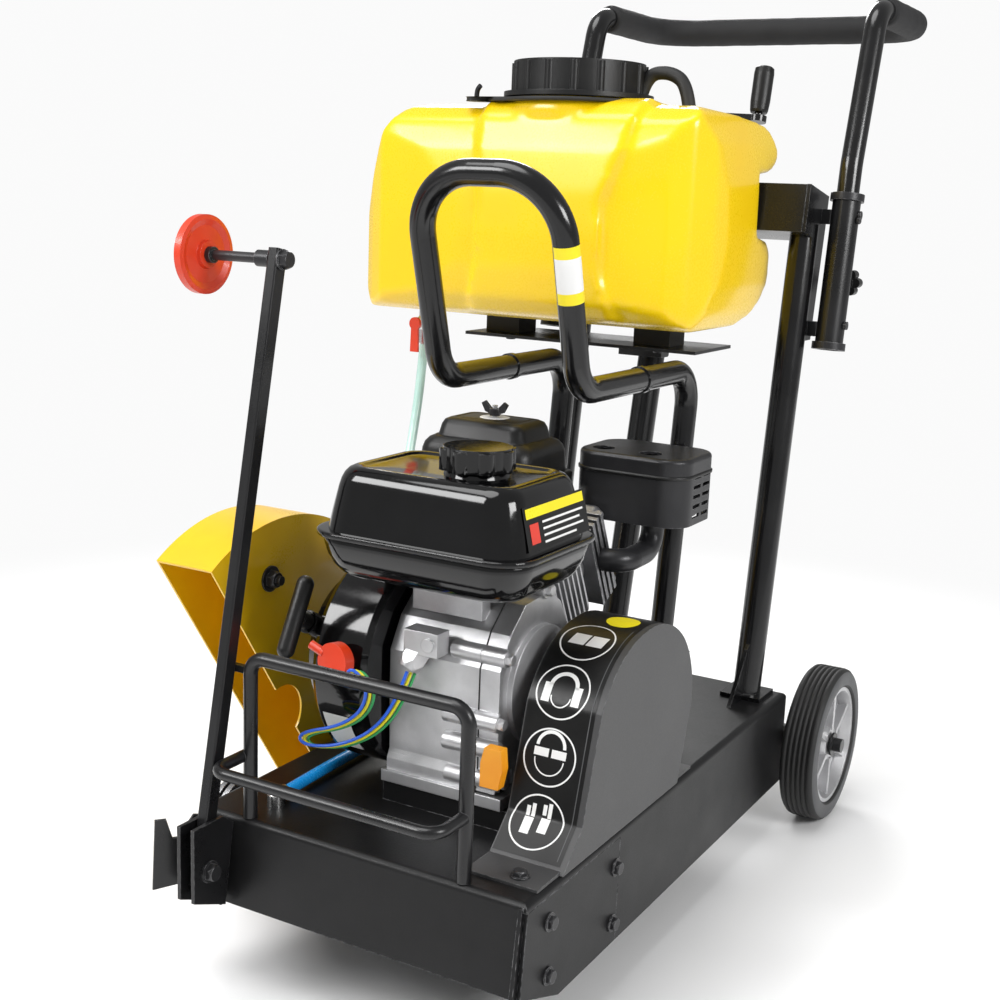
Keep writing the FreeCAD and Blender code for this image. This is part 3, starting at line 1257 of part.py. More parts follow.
PARTS = {
    "deck": deck,
    "belt_access_plate": belt_access_plate,
    "panel_bolts": panel_bolts,
    "belt_guard": belt_guard,
    "front_bumper": front_bumper,
    "pointer_bracket": pointer_bracket,
    "pointer_arm": pointer_arm,
    "pointer_axle": pointer_axle,
    "pointer_disc": pointer_disc,
    "uprights": uprights,
    "crossbeam": crossbeam,
    "handle_sockets": handle_sockets,
    "socket_rings": socket_rings,
    "handlebar": handlebar,
    "foam_grip": foam_grip,
    "clamp_knob_left": lambda: clamp_knob(-1),
    "clamp_knob_right": lambda: clamp_knob(1),
    "depth_crank": depth_crank,
    "crank_grip": crank_grip,
    "lift_rod": lift_rod,
    "axle_carriage": axle_carriage,
    "rear_tyre_left": lambda: rear_tyre(-1),
    "rear_tyre_right": lambda: rear_tyre(1),
    "rear_hub_left": lambda: rear_hub(-1),
    "rear_hub_right": lambda: rear_hub(1),
    "front_wheels": front_wheels,
    "water_tank": water_tank,
    "tank_cap": tank_cap,
    "tank_platform": tank_platform,
    "tank_mounts": tank_mounts,
    "mount_bolts": mount_bolts,
    "water_fittings": water_fittings,
    "tap_lever": tap_lever,
    "water_hose": lambda: hose(HOSE_POINTS, HOSE_R),
    "spray_hose": lambda: hose(SPRAY_POINTS, HOSE_R),
    "lifting_bail": lifting_bail,
    "engine_block": engine_block,
    "crankcase_cover": crankcase_cover,
    "cylinder_head": cylinder_head,
    "blower_shroud": blower_shroud,
    "recoil_starter": recoil_starter,
    "starter_grip": starter_grip,
    "engine_switch": engine_switch,
    "fuel_tank": fuel_tank,
    "fuel_cap": fuel_cap,
    "air_cleaner": air_cleaner,
    "cleaner_nut": cleaner_nut,
    "muffler": muffler,
    "ignition_box": ignition_box,
    "dipstick": dipstick,
    "wiring": wiring,
    "crankshaft": crankshaft,
    "blade_shaft": blade_shaft,
    "shaft_bearings": shaft_bearings,
    "v_belts": v_belts,
    "blade_guard": blade_guard,
    "guard_bolt": guard_bolt,
    "carburettor": carburettor,
    "throttle_lever": throttle_lever,
    "blade_flange": blade_flange,
}

os.makedirs("parts", exist_ok=True)
for part_name, make in PARTS.items():
    save(part_name, make())
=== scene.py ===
import math

import bmesh
import bpy
from mathutils import Matrix, Vector, noise


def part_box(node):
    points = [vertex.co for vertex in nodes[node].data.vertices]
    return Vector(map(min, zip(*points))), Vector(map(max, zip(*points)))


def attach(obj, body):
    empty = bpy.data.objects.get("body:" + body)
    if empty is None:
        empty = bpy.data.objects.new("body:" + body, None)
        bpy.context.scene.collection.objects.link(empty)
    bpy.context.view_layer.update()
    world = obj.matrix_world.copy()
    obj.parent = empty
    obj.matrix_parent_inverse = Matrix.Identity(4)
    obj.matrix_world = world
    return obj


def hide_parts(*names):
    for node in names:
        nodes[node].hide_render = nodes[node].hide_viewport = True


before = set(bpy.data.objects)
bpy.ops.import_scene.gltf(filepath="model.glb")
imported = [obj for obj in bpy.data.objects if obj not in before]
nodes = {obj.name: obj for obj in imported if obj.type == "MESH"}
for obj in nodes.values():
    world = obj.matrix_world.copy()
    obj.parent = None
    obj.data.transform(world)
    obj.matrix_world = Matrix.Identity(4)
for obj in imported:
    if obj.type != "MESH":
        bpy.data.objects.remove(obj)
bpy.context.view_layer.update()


def at(x, y, z):
    """A point of the design frame, in mm, as metres in the row frame."""
    return Vector(((x + 70.5) / 1000, (y - 151.9) / 1000, z / 1000))


# ---- camera -------------------------------------------------------------------------------

YAW, PITCH, ROLL = math.radians(29.43), math.radians(12.33), math.radians(-2.22)
forward = Vector((-math.sin(YAW) * math.cos(PITCH), math.cos(YAW) * math.cos(PITCH), -math.sin(PITCH)))
level = Vector((math.cos(YAW), math.sin(YAW), 0))
down = forward.cross(level)
right = level * math.cos(ROLL) + down * math.sin(ROLL)
below = down * math.cos(ROLL) - level * math.sin(ROLL)
EYE = (0.7978, -1.5237, 0.7869)
camera = bpy.data.objects.new("camera", bpy.data.cameras.new("camera"))
camera.matrix_world = Matrix((
    (right.x, -below.x, -forward.x, EYE[0]),
    (right.y, -below.y, -forward.y, EYE[1]),
    (right.z, -below.z, -forward.z, EYE[2]),
    (0, 0, 0, 1),
))
camera.data.lens = 52.17
camera.data.sensor_width = 36
camera.data.shift_x = -0.0026
camera.data.shift_y = 0.0096
camera.data.clip_end = 50
bpy.context.collection.objects.link(camera)
bpy.context.scene.camera = camera


# ---- materials ----------------------------------------------------------------------------

class Nodes:
    """A material's node tree with short ways to add what most finishes here share."""

    def __init__(self, name):
        self.material = bpy.data.materials.new(name)
        self.material.use_nodes = True
        self.tree = self.material.node_tree
        self.shader = self.tree.nodes["Principled BSDF"]
        self.place = self.tree.nodes.new("ShaderNodeTexCoord").outputs["Object"]

    def add(self, kind, inputs=None, **fields):
        node = self.tree.nodes.new(kind)
        for key, value in fields.items():
            setattr(node, key, value)
        for key, value in (inputs or {}).items():
            if isinstance(value, bpy.types.NodeSocket):
                self.tree.links.new(value, node.inputs[key])
            else:
                node.inputs[key].default_value = value
        return node

    def noise(self, scale, detail=3.0, stretch=None):
        place = self.place
        if stretch:
            place = self.add("ShaderNodeMapping", {"Vector": place, "Scale": stretch}).outputs[0]
        return self.add("ShaderNodeTexNoise", {"Vector": place, "Scale": scale,
                                               "Detail": detail}).outputs["Fac"]

    def span(self, value, low, high, to_low, to_high):
        return self.add("ShaderNodeMapRange", {0: value, 1: low, 2: high, 3: to_low, 4: to_high}).outputs[0]

    def mix(self, factor, one, two):
        node = self.add("ShaderNodeMix", {0: factor, 6: one, 7: two}, data_type="RGBA")
        return node.outputs[2]

    def edges(self, radius, low, high):
        """1 on worn edges: where a rounded normal leaves the true one."""
        round_normal = self.add("ShaderNodeBevel", {"Radius": radius}, samples=4).outputs[0]
        true_normal = self.add("ShaderNodeNewGeometry").outputs["Normal"]
        dot = self.add("ShaderNodeVectorMath", {0: round_normal, 1: true_normal},
                       operation="DOT_PRODUCT").outputs["Value"]
        return self.span(dot, high, low, 0.0, 1.0)

    def set(self, socket, value):
        if isinstance(value, bpy.types.NodeSocket):
            self.tree.links.new(value, self.shader.inputs[socket])
        else:
            self.shader.inputs[socket].default_value = value


def rgb(r, g, b):
    return (r, g, b, 1.0)


def finish(name, main, second, rough=(0.3, 0.4), metal=0.0, coat=0.0, blotch=14.0, grain=900.0, bump=0.1,
           round_edge=0.0009, worn=None, wear=0.5, stretch=None, specular=0.5):
    """A surface with broad colour variation, fine grain in its gloss and its relief, and worn edges."""
    n = Nodes(name)
    broad = n.noise(blotch, 4.0)
    fine = n.noise(grain, 2.0, stretch)
    colour = n.mix(n.span(broad, 0.35, 0.65, 0.0, 1.0), main, second)
    if worn:
        mask = n.edges(0.0016, 0.80, 0.97)
        scuff = n.add("ShaderNodeMath", {0: mask, 1: n.span(n.noise(160.0), 0.42, 0.62, 0.0, wear)},
                      operation="MULTIPLY")
        colour = n.mix(scuff.outputs[0], colour, worn)
    n.set("Base Color", colour)
    gloss = n.add("ShaderNodeMath", {0: n.span(broad, 0.3, 0.7, rough[0], rough[1]), 1: n.span(fine, 0.3,
                                                                                               0.7, -0.03,
                                                                                               0.03)})
    n.set("Roughness", gloss.outputs[0])
    n.set("Metallic", metal)
    n.set("Specular IOR Level", specular)
    n.set("Coat Weight", coat)
    n.set("Coat Roughness", 0.06)
    rounded = n.add("ShaderNodeBevel", {"Radius": round_edge}, samples=4).outputs[0]
    relief = n.add("ShaderNodeBump", {"Strength": bump, "Distance": 0.0004, "Height": fine,
                                      "Normal": rounded})
    n.set("Normal", relief.outputs[0])
    return n.material


WEAR = rgb(0.32, 0.32, 0.33)
black_enamel = finish("black_enamel", rgb(0.006, 0.006, 0.0065), rgb(0.010, 0.010, 0.011), (0.26, 0.36),
                      coat=0.1, specular=0.4, grain=700.0, bump=0.14, worn=WEAR, wear=0.35)
tube_enamel = finish("tube_enamel", rgb(0.004, 0.004, 0.0045), rgb(0.007, 0.007, 0.0075), (0.17, 0.25),
                     coat=0.25, specular=0.4, grain=500.0, bump=0.06)
deck_enamel = finish("deck_enamel", rgb(0.005, 0.005, 0.0055), rgb(0.009, 0.009, 0.0095), (0.33, 0.45),
                     specular=0.25, grain=620.0, bump=0.22, worn=WEAR, wear=0.7)
grey_panel = finish("grey_panel", rgb(0.040, 0.040, 0.041), rgb(0.052, 0.052, 0.053), (0.42, 0.52),
                    grain=800.0, bump=0.2, worn=WEAR, wear=0.5)
yellow_enamel = finish("yellow_enamel", rgb(0.93, 0.58, 0.004), rgb(0.88, 0.52, 0.003), (0.28, 0.38),
                       coat=0.3, grain=600.0, bump=0.1, worn=rgb(0.42, 0.34, 0.20), wear=0.4)
yellow_plastic = finish("yellow_plastic", rgb(0.95, 0.66, 0.002), rgb(0.93, 0.60, 0.002), (0.24, 0.32),
                        coat=0.3, blotch=6.0, grain=420.0, bump=0.05, round_edge=0.002)
black_plastic = finish("black_plastic", rgb(0.006, 0.006, 0.006), rgb(0.010, 0.010, 0.010), (0.30, 0.42),
                       specular=0.4, grain=1500.0, bump=0.3, round_edge=0.0014)
gloss_black = finish("gloss_black", rgb(0.002, 0.002, 0.0022), rgb(0.004, 0.004, 0.0044), (0.07, 0.11),
                     coat=0.4, specular=0.3, grain=300.0, bump=0.02, round_edge=0.002)
cast_alloy = finish("cast_alloy", rgb(0.62, 0.62, 0.63), rgb(0.50, 0.50, 0.51), (0.34, 0.46), metal=0.85,
                    blotch=26.0, grain=1100.0, bump=0.5, round_edge=0.0015, worn=rgb(0.85, 0.85, 0.86),
                    wear=0.7)
dark_alloy = finish("dark_alloy", rgb(0.30, 0.30, 0.31), rgb(0.20, 0.20, 0.21), (0.34, 0.44), metal=0.85,
                    blotch=26.0, grain=1100.0, bump=0.4, worn=rgb(0.9, 0.9, 0.9), wear=1.0)
zinc_steel = finish("zinc_steel", rgb(0.66, 0.66, 0.65), rgb(0.56, 0.56, 0.57), (0.22, 0.34), metal=1.0,
                    grain=900.0, bump=0.12)
black_steel = finish("black_steel", rgb(0.022, 0.022, 0.024), rgb(0.034, 0.034, 0.036), (0.3, 0.42),
                     metal=0.4, grain=700.0, bump=0.2, worn=rgb(0.4, 0.4, 0.41), wear=0.7)
ground_steel = finish("ground_steel", rgb(0.52, 0.52, 0.53), rgb(0.44, 0.44, 0.45), (0.2, 0.3), metal=1.0,
                      grain=260.0, bump=0.1, stretch=(1.0, 12.0, 12.0))
red_plastic = finish("red_plastic", rgb(0.74, 0.050, 0.012), rgb(0.66, 0.040, 0.010), (0.3, 0.4), coat=0.2,
                     grain=900.0, bump=0.08)
orange_plastic = finish("orange_plastic", rgb(0.90, 0.36, 0.008), rgb(0.86, 0.30, 0.006), (0.32, 0.42),
                        grain=900.0, bump=0.1)
tyre_rubber = finish("tyre_rubber", rgb(0.013, 0.013, 0.013), rgb(0.020, 0.020, 0.020), (0.5, 0.62),
                     grain=1400.0, bump=0.45, specular=0.4)
sidewall = finish("sidewall", rgb(0.085, 0.087, 0.090), rgb(0.065, 0.067, 0.070), (0.5, 0.6), grain=1200.0,
                  bump=0.3)
mount_rubber = finish("mount_rubber", rgb(0.012, 0.012, 0.012), rgb(0.020, 0.020, 0.020), (0.55, 0.68),
                      grain=1200.0, bump=0.5)
foam = finish("foam", rgb(0.014, 0.014, 0.015), rgb(0.022, 0.022, 0.023), (0.62, 0.74), grain=2600.0,
              bump=0.9, specular=0.35)
blue_hose = finish("blue_hose", rgb(0.010, 0.24, 0.62), rgb(0.012, 0.30, 0.70), (0.24, 0.32), coat=0.3,
                   grain=500.0, bump=0.05)
clear_hose = finish("clear_hose", rgb(0.56, 0.80, 0.74), rgb(0.48, 0.72, 0.66), (0.12, 0.2), coat=0.4,
                    grain=300.0, bump=0.05)
label_black = finish("label_black", rgb(0.005, 0.005, 0.005), rgb(0.008, 0.008, 0.008), (0.3, 0.36),
                     specular=0.3, grain=400.0, bump=0.02)
label_white = finish("label_white", rgb(0.86, 0.86, 0.85), rgb(0.80, 0.80, 0.79), (0.3, 0.38), grain=700.0,
                     bump=0.05)
label_yellow = finish("label_yellow", rgb(0.92, 0.78, 0.010), rgb(0.88, 0.72, 0.010), (0.28, 0.36),
                      grain=700.0, bump=0.05)
label_red = finish("label_red", rgb(0.72, 0.05, 0.03), rgb(0.64, 0.04, 0.02), (0.3, 0.38), grain=700.0,
                   bump=0.05)
weld = finish("weld", rgb(0.014, 0.014, 0.015), rgb(0.024, 0.024, 0.025), (0.3, 0.4), grain=360.0, bump=0.5)

CARRIED = {
    black_enamel: ["front_bumper", "pointer_bracket", "pointer_arm", "crossbeam", "handle_sockets",
                   "tank_platform", "axle_carriage", "shaft_bearings"],
    tube_enamel: ["uprights", "handlebar", "depth_crank", "lifting_bail"],
    deck_enamel: ["deck", "belt_access_plate"],
    grey_panel: ["belt_guard"],
    yellow_enamel: ["blade_guard"],
    black_plastic: ["tank_cap", "clamp_knob_left", "clamp_knob_right", "crank_grip", "air_cleaner",
                    "starter_grip", "throttle_lever"],
    gloss_black: ["blower_shroud", "recoil_starter", "fuel_cap"],
    cast_alloy: ["crankcase_cover", "engine_block", "rear_hub_left", "rear_hub_right", "carburettor",
                 "ignition_box"],
    zinc_steel: ["water_fittings", "lift_rod"],
    black_steel: ["panel_bolts", "mount_bolts", "pointer_axle", "guard_bolt", "muffler", "socket_rings",
                  "cleaner_nut"],
    ground_steel: ["blade_flange", "blade_shaft", "crankshaft"],
    red_plastic: ["pointer_disc", "engine_switch", "tap_lever"],
    orange_plastic: ["dipstick"],
    mount_rubber: ["tank_mounts", "front_wheels", "v_belts"],
    dark_alloy: ["cylinder_head"],
}
for material, names in CARRIED.items():
    for name in names:
        data = nodes[name].data
        data.materials.clear()
        data.materials.append(material)


# ---- mesh tools ---------------------------------------------------------------------------

def add_piece(name, data, material, body=None, smooth=True):
    piece = bpy.data.objects.new(name, data)
    bpy.context.collection.objects.link(piece)
    data.materials.clear()
    data.materials.append(material)
    if smooth and isinstance(data, bpy.types.Mesh):
        data.polygons.foreach_set("use_smooth", [True] * len(data.polygons))
    if body:
        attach(piece, body)
    return piece


def mesh_of(name, verts, faces):
    data = bpy.data.meshes.new(name)
    data.from_pydata([tuple(v) for v in verts], [], faces)
    data.update()
    return data


def ring_faces(rings, count, base=0, closed=True):
    """Quads between rings of count points that lie one after another."""
    faces = []
    for ring in range(rings - 1):
        k = base + ring * count
        for i in range(count if closed else count - 1):
            j = (i + 1) % count
            faces.append((k + i, k + j, k + count + j, k + count + i))
    return faces


def torus_faces(around, size):
    """Quads of a closed section of size points, carried once round."""
    faces = []
    for i in range(around):
        j = (i + 1) % around
        for k in range(size):
            m = (k + 1) % size
            faces.append((i * size + k, j * size + k, j * size + m, i * size + m))
    return faces


def turned(levels, x, y, count):
    """Rings of points round an upright axis at (x, y), from (z, radius) levels."""
    verts = []
    for z, radius in levels:
        for i in range(count):
            a = 2 * math.pi * i / count
            verts.append(at(x + radius * math.cos(a), y + radius * math.sin(a), z))
    return verts


def face_outward(data):
    mesh = bmesh.new()
    mesh.from_mesh(data)
    bmesh.ops.recalc_face_normals(mesh, faces=mesh.faces)
    mesh.to_mesh(data)
    mesh.free()


def evaluated(piece):
    """The piece's mesh with its modifiers applied."""
    graph = bpy.context.evaluated_depsgraph_get()
    graph.update()
    return bpy.data.meshes.new_from_object(piece.evaluated_get(graph), depsgraph=graph)


def drop(piece):
    bpy.data.objects.remove(piece, do_unlink=True)


def prism(name, outline, span, place):
    """An extruded outline as an object. place turns (a, b, along) into a point."""
    count = len(outline)
    verts = [place(a, b, span[0]) for a, b in outline] + [place(a, b, span[1]) for a, b in outline]
    faces = [tuple(range(count))[::-1], tuple(range(count, 2 * count))]
    faces += [(i, (i + 1) % count, count + (i + 1) % count, count + i) for i in range(count)]
    data = mesh_of(name, verts, faces)
    face_outward(data)
    piece = bpy.data.objects.new(name, data)
    bpy.context.collection.objects.link(piece)
    return piece


def from_side(a, b, x):
    return at(x, a, b)


def from_front(a, b, y):
    return at(a, y, b)


def from_above(a, b, z):
    return at(a, b, z)


def common(first, others):
    for other in others:
        cutter = first.modifiers.new("common", "BOOLEAN")
        cutter.operation = "INTERSECT"
        cutter.solver = "EXACT"
        cutter.object = other
    data = evaluated(first)
    for other in others:
        drop(other)
    drop(first)
    return data


def revolved(profile, centre, side=1, segments=96):
    """A closed ring turned about X from (x, radius) points in mm."""
    verts, faces, count = [], [], len(profile)
    for i in range(segments):
        a = 2 * math.pi * i / segments
        for x, r in profile:
            verts.append(centre + Vector((side * x, r * math.cos(a), r * math.sin(a))) / 1000)
    for i in range(segments):
        for j in range(count):
            p, q = i * count + j, i * count + (j + 1) % count
            r, s = ((i + 1) % segments) * count + (j + 1) % count, ((i + 1) % segments) * count + j
            faces.append((p, q, r, s) if side < 0 else (s, r, q, p))
    return verts, faces


def nurbs(name, points, radius, material, body):
    """A smooth round line through control points of the row frame."""
    curve = bpy.data.curves.new(name, "CURVE")
    curve.dimensions = "3D"
    curve.bevel_depth = radius
    curve.bevel_resolution = 5
    curve.resolution_u = 10
    curve.use_fill_caps = True
    spline = curve.splines.new("NURBS")
    spline.points.add(len(points) - 1)
    for point, place in zip(spline.points, points):
        point.co = (*place, 1.0)
    spline.order_u = 3
    spline.use_endpoint_u = True
    return add_piece(name, curve, material, body)


# ---- cords --------------------------------------------------------------------------------

HOSE = [(-288, 205, 592), (-288, 200, 555), (-286, 190, 515), (-284, 176, 472), (-280, 158, 430),
        (-270, 136, 390),
        (-252, 112, 352), (-228, 88, 318), (-198, 64, 290), (-172, 42, 258), (-152, 22, 228), (-146, 8, 204)]
SPRAY = [(-142, 0, 189), (-136, -60, 188), (-131, -120, 188), (-129, -180, 189), (-127, -240, 189),
         (-125, -285, 188.5)]
water_line = nurbs("water_line", [at(*p) for p in HOSE], 0.006, clear_hose, "frame")
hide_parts("water_hose")
spray_line = nurbs("spray_line", [at(*p) for p in SPRAY], 0.006, blue_hose, "frame")
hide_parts("spray_hose")

WIRE = [(-52, -284, 322), (-46, -292, 336), (-36, -290, 336), (-28, -282, 316), (-38, -280, 290),
        (-62, -284, 272),
        (-96, -292, 262), (-104, -292, 252), (-92, -288, 246), (-60, -280, 252), (-30, -270, 270),
        (-12, -258, 300),
        (-6, -248, 330)]
WIRE_COLOURS = [("blue", rgb(0.02, 0.12, 0.70)), ("yellow", rgb(0.80, 0.72, 0.02)),
                ("green", rgb(0.03, 0.34, 0.10))]
for i, (colour, shade) in enumerate(WIRE_COLOURS):
    coat = finish("lead_" + colour, shade, tuple(c * 0.8 for c in shade[:3]) + (1.0,), (0.28, 0.36),
                  grain=900.0,
                  bump=0.05)
    route = [at(x + i * 2, y + i * 4, z - i * 1.6) for x, y, z in WIRE]
    nurbs("lead_" + colour, route, 0.0016, coat, "frame")
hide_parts("wiring")


# ---- water tank ---------------------------------------------------------------------------

TANK_NECK = (-99, 240)
TANK_VOXEL = 0.0042
TANK_SOFTENING = 9


def water_tank():
    """A blow-moulded tank: three outlines share one volume, which is then softened like moulded plastic."""
    side = [(196, 636), (330, 636), (362, 648), (386, 672), (392, 700), (388, 730), (374, 742), (338, 746),
            (338, 818),
            (384, 824), (404, 836), (408, 852), (404, 868), (388, 880), (318, 886), (212, 892), (186, 887),
            (166, 872),
            (155, 840), (149, 790), (147, 740), (148, 700), (154, 664), (170, 644)]
    plan = [(-356, 182), (-330, 162), (-206, 147), (-50, 147), (62, 160), (84, 172), (100, 204), (105, 240),
            (105, 400),
            (96, 416), (80, 420), (30, 420), (18, 408), (10, 347), (-293, 347), (-301, 408), (-313, 420),
            (-356, 420),
            (-376, 414), (-388, 396), (-388, 240), (-378, 204)]
    face = [(-388, 720), (-386, 684), (-378, 654), (-362, 637), (84, 636), (96, 656), (103, 690), (105, 740),
            (104, 800),
            (99, 850), (84, 886), (60, 893), (-284, 893), (-312, 884), (-338, 850), (-362, 800), (-380, 756)]
    body = common(prism("tank_body", side, (-388, 105), from_side),
                  [prism("tank_plan", plan, (600, 1000), from_above),
                   prism("tank_face", face, (100, 500), from_front)])
    bulge = [(176, 640), (336, 640), (336, 888), (200, 899), (178, 893), (158, 876), (147, 840),
             (140.5, 790),
             (138.5, 740), (140, 700), (146, 664), (160, 646)]
    waist = [(-196, 640), (2, 640), (-14, 700), (-16, 780), (6, 840), (20, 905), (-192, 905), (-184, 840),
             (-178, 780), (-180, 700)]
    panel = common(prism("tank_panel", bulge, (-214, 40), from_side),
                   [prism("panel_cut", waist, (100, 500), from_front)])
    levels, count = ((880, 88), (893, 84), (899, 76), (909, 74)), 64
    faces = ring_faces(len(levels), count)
    faces += [tuple(range(count))[::-1], tuple(range((len(levels) - 1) * count, len(levels) * count))]
    joined = bmesh.new()
    for data in (body, panel, mesh_of("neck", turned(levels, *TANK_NECK, count), faces)):
        joined.from_mesh(data)
    data = bpy.data.meshes.new("water_tank_shell")
    joined.to_mesh(data)
    joined.free()
    rough = bpy.data.objects.new("rough_tank", data)
    bpy.context.collection.objects.link(rough)
    voxels = rough.modifiers.new("remesh", "REMESH")
    voxels.mode = "VOXEL"
    voxels.voxel_size = TANK_VOXEL
    soft = rough.modifiers.new("soften", "SMOOTH")
    soft.factor = 0.5
    soft.iterations = TANK_SOFTENING
    rough.modifiers.new("fine", "SUBSURF").render_levels = 1
    shell = evaluated(rough)
    drop(rough)
    return shell


tank = add_piece("water_tank_shell", water_tank(), yellow_plastic, "frame")
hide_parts("water_tank")


# ---- fuel tank and air cleaner --------------------------------------------------------------

def rounded_rectangle(x0, x1, y0, y1, radius, per_corner=12):
    """Points round a rectangle with round corners."""
    points = []
    corners = ((x1, y1, 0), (x0, y1, 90), (x0, y0, 180), (x1, y0, 270))
    for x, y, start in corners:
        cx = x - radius if x == x1 else x + radius
        cy = y - radius if y == y1 else y + radius
        for i in range(per_corner + 1):
            a = math.radians(start + 90 * i / per_corner)
            points.append((cx + radius * math.cos(a), cy + radius * math.sin(a)))
    return points


def loft(name, box, steps, material):
    """A shell through rounded rectangles, bottom to top. A step is (z, inset from the box, corner radius)."""
    x0, x1, y0, y1 = box
    verts = []
    for z, inset, radius in steps:
        ring = rounded_rectangle(x0 + inset, x1 - inset, y0 + inset, y1 - inset, radius)
        verts += [at(x, y, z) for x, y in ring]
    count, levels = len(ring), len(steps)
    faces = ring_faces(levels, count)
    faces.append(tuple(range(count))[::-1])
    faces.append(tuple(range((levels - 1) * count, levels * count)))
    return add_piece(name, mesh_of(name, verts, faces), material, "frame")


UPPER_HALF = (-83, 135, -299, -137)
UPPER_STEPS = [(467, 0.5, 33), (470, 1, 33), (490, 4.6, 31), (512, 9, 29), (519, 11, 28), (524.5, 13.8, 26),
               (528.5, 17.6, 23), (530.6, 22, 20), (531, 25, 18), (530.2, 28, 16), (528.6, 30, 15),
               (528.2, 33, 14),
               (528.2, 60, 8)]
LOWER_HALF = (-88, 140, -302, -130)
LOWER_STEPS = [(424, 40, 20), (424.2, 26, 26), (425.6, 20, 28), (429.5, 14.5, 30), (436, 9.5, 32),
               (446, 5, 33),
               (456, 2.4, 34), (467, 1, 34)]
TANK_RIM = (-92, 144, -306, -128)
TANK_RIM_STEPS = [(464.6, 3, 36), (464.8, 0.8, 37), (465.6, 0, 38), (469.2, 0, 38), (470, 0.8, 37),
                  (470.2, 3, 36)]
petrol = loft("fuel_tank_top", UPPER_HALF, UPPER_STEPS, gloss_black)
loft("fuel_tank_bottom", LOWER_HALF, LOWER_STEPS, gloss_black)
loft("fuel_tank_rim", TANK_RIM, TANK_RIM_STEPS, gloss_black)

FILTER_TRAY = (-150, 0, -34, 84)
FILTER_TRAY_STEPS = [(462, 1, 10), (463, 0, 11), (480, 0, 11), (482, 2, 10)]
FILTER_COVER = (-146, -4, -30, 80)
FILTER_COVER_STEPS = [(481, 0.5, 18), (484, 0, 18), (505, 1.4, 18), (512, 3.4, 18), (517, 7.4, 17),
                      (519.4, 12, 16),
                      (520, 13, 15), (519, 14, 15), (521, 15.4, 15), (532, 18, 14), (537, 21, 12),
                      (539.4, 26, 10),
                      (540, 30, 8), (539.2, 31.5, 8), (539.2, 33.5, 7), (540, 35, 6)]
FILTER_STUD = (-76, 26)
filter_body = loft("air_cleaner_tray", FILTER_TRAY, FILTER_TRAY_STEPS, black_plastic)
loft("air_cleaner_cover", FILTER_COVER, FILTER_COVER_STEPS, black_plastic)
nurbs("air_cleaner_stud", [at(*FILTER_STUD, z) for z in (538, 544, 549, 554)], 0.003, zinc_steel, "frame")
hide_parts("air_cleaner")

MUFFLER_CAN = (4, 140, 62, 168)
MUFFLER_RIM_STEPS = [(487, 0.6, 30), (487.6, -1.4, 31), (490.4, -1.6, 31), (491.2, -0.8, 31), (492, 0.6, 30)]
loft("muffler_rim", MUFFLER_CAN, MUFFLER_RIM_STEPS, black_plastic)


def fuel_neck():
    """The raised seat under the fuel cap."""
    levels, count = ((528, 32), (533, 30), (538, 27)), 48
    faces = ring_faces(len(levels), count)
    faces.append(tuple(range((len(levels) - 1) * count, len(levels) * count)))
    data = mesh_of("fuel_tank_neck", turned(levels, 50, -222, count), faces)
    return add_piece("fuel_tank_neck", data, gloss_black, "frame")


fuel_neck()
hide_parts("fuel_tank")


# ---- tyres --------------------------------------------------------------------------------

def tyre_profile():
    points = [(-20, 76), (-22.6, 79), (-23.4, 84), (-23.0, 91), (-21.5, 96), (-18.5, 99)]
    for x in (-13, -6.5, 0, 6.5, 13):
        points += [(x - 1.3, 100), (x - 0.9, 97.4), (x + 0.9, 97.4), (x + 1.3, 100)]
    points += [(18.5, 99), (21.5, 96), (23.0, 91), (23.4, 84), (22.6, 79), (20, 76)]
    return points


for side, body in ((-1, "wheel_left"), (1, "wheel_right")):
    low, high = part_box("rear_tyre_" + body[6:])
    hub = (low + high) / 2
    verts, faces = revolved(tyre_profile(), hub, side)
    data = mesh_of("tread_" + body[6:], verts, faces)
    tread = add_piece("tread_" + body[6:], data, tyre_rubber, body)
    data.materials.append(sidewall)
    for polygon in data.polygons:
        centre = polygon.center - hub
        if abs(centre.x) > 0.0215 and math.hypot(centre.y, centre.z) < 0.0955:
            polygon.material_index = 1
    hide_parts("rear_tyre_" + body[6:])


# ---- foam grip ----------------------------------------------------------------------------

def grip_route():
    """The grip's middle line, from the record's frame: two legs, two bends and the bar."""
    low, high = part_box("foam_grip")
    radius = (high.z - low.z) / 2
    x0, x1 = low.x + radius, high.x - radius
    y0, y1 = low.y, high.y - radius
    z = (low.z + high.z) / 2
    bend = 0.058
    points = [Vector((x0, y0, z))]
    for cx, start in ((x0 + bend, 180), (x1 - bend, 90)):
        for i in range(9):
            a = math.radians(start - i * 11.25)
            points.append(Vector((cx + bend * math.cos(a), y1 - bend + bend * math.sin(a), z)))
    points.append(Vector((x1, y0, z)))
    return points, radius


def foam_sleeve():
    """A foam tube with a skin that is slightly uneven, and rolled ends."""
    route, radius = grip_route()
    fine = [route[0]]
    for one, two in zip(route, route[1:]):
        steps = max(1, int((two - one).length / 0.005))
        fine += [one.lerp(two, (i + 1) / steps) for i in range(steps)]
    verts, count = [], 40
    total = len(fine)
    for i, point in enumerate(fine):
        ahead = (fine[min(i + 1, total - 1)] - fine[max(i - 1, 0)]).normalized()
        across = ahead.cross(Vector((0, 0, 1))).normalized()
        end = min(i, total - 1 - i)
        size = radius * (0.90 if end == 0 else 0.985)
        for j in range(count):
            a = 2 * math.pi * j / count
            out = across * math.cos(a) + Vector((0, 0, 1)) * math.sin(a)
            uneven = noise.noise((point + out * 0.02) * 60) * 0.0004
            verts.append(point + out * (size + uneven))
    faces = ring_faces(total, count)
    faces += [tuple(range(count))[::-1], tuple(range((total - 1) * count, total * count))]
    data = mesh_of("foam_sleeve", verts, faces)
    face_outward(data)
    return data


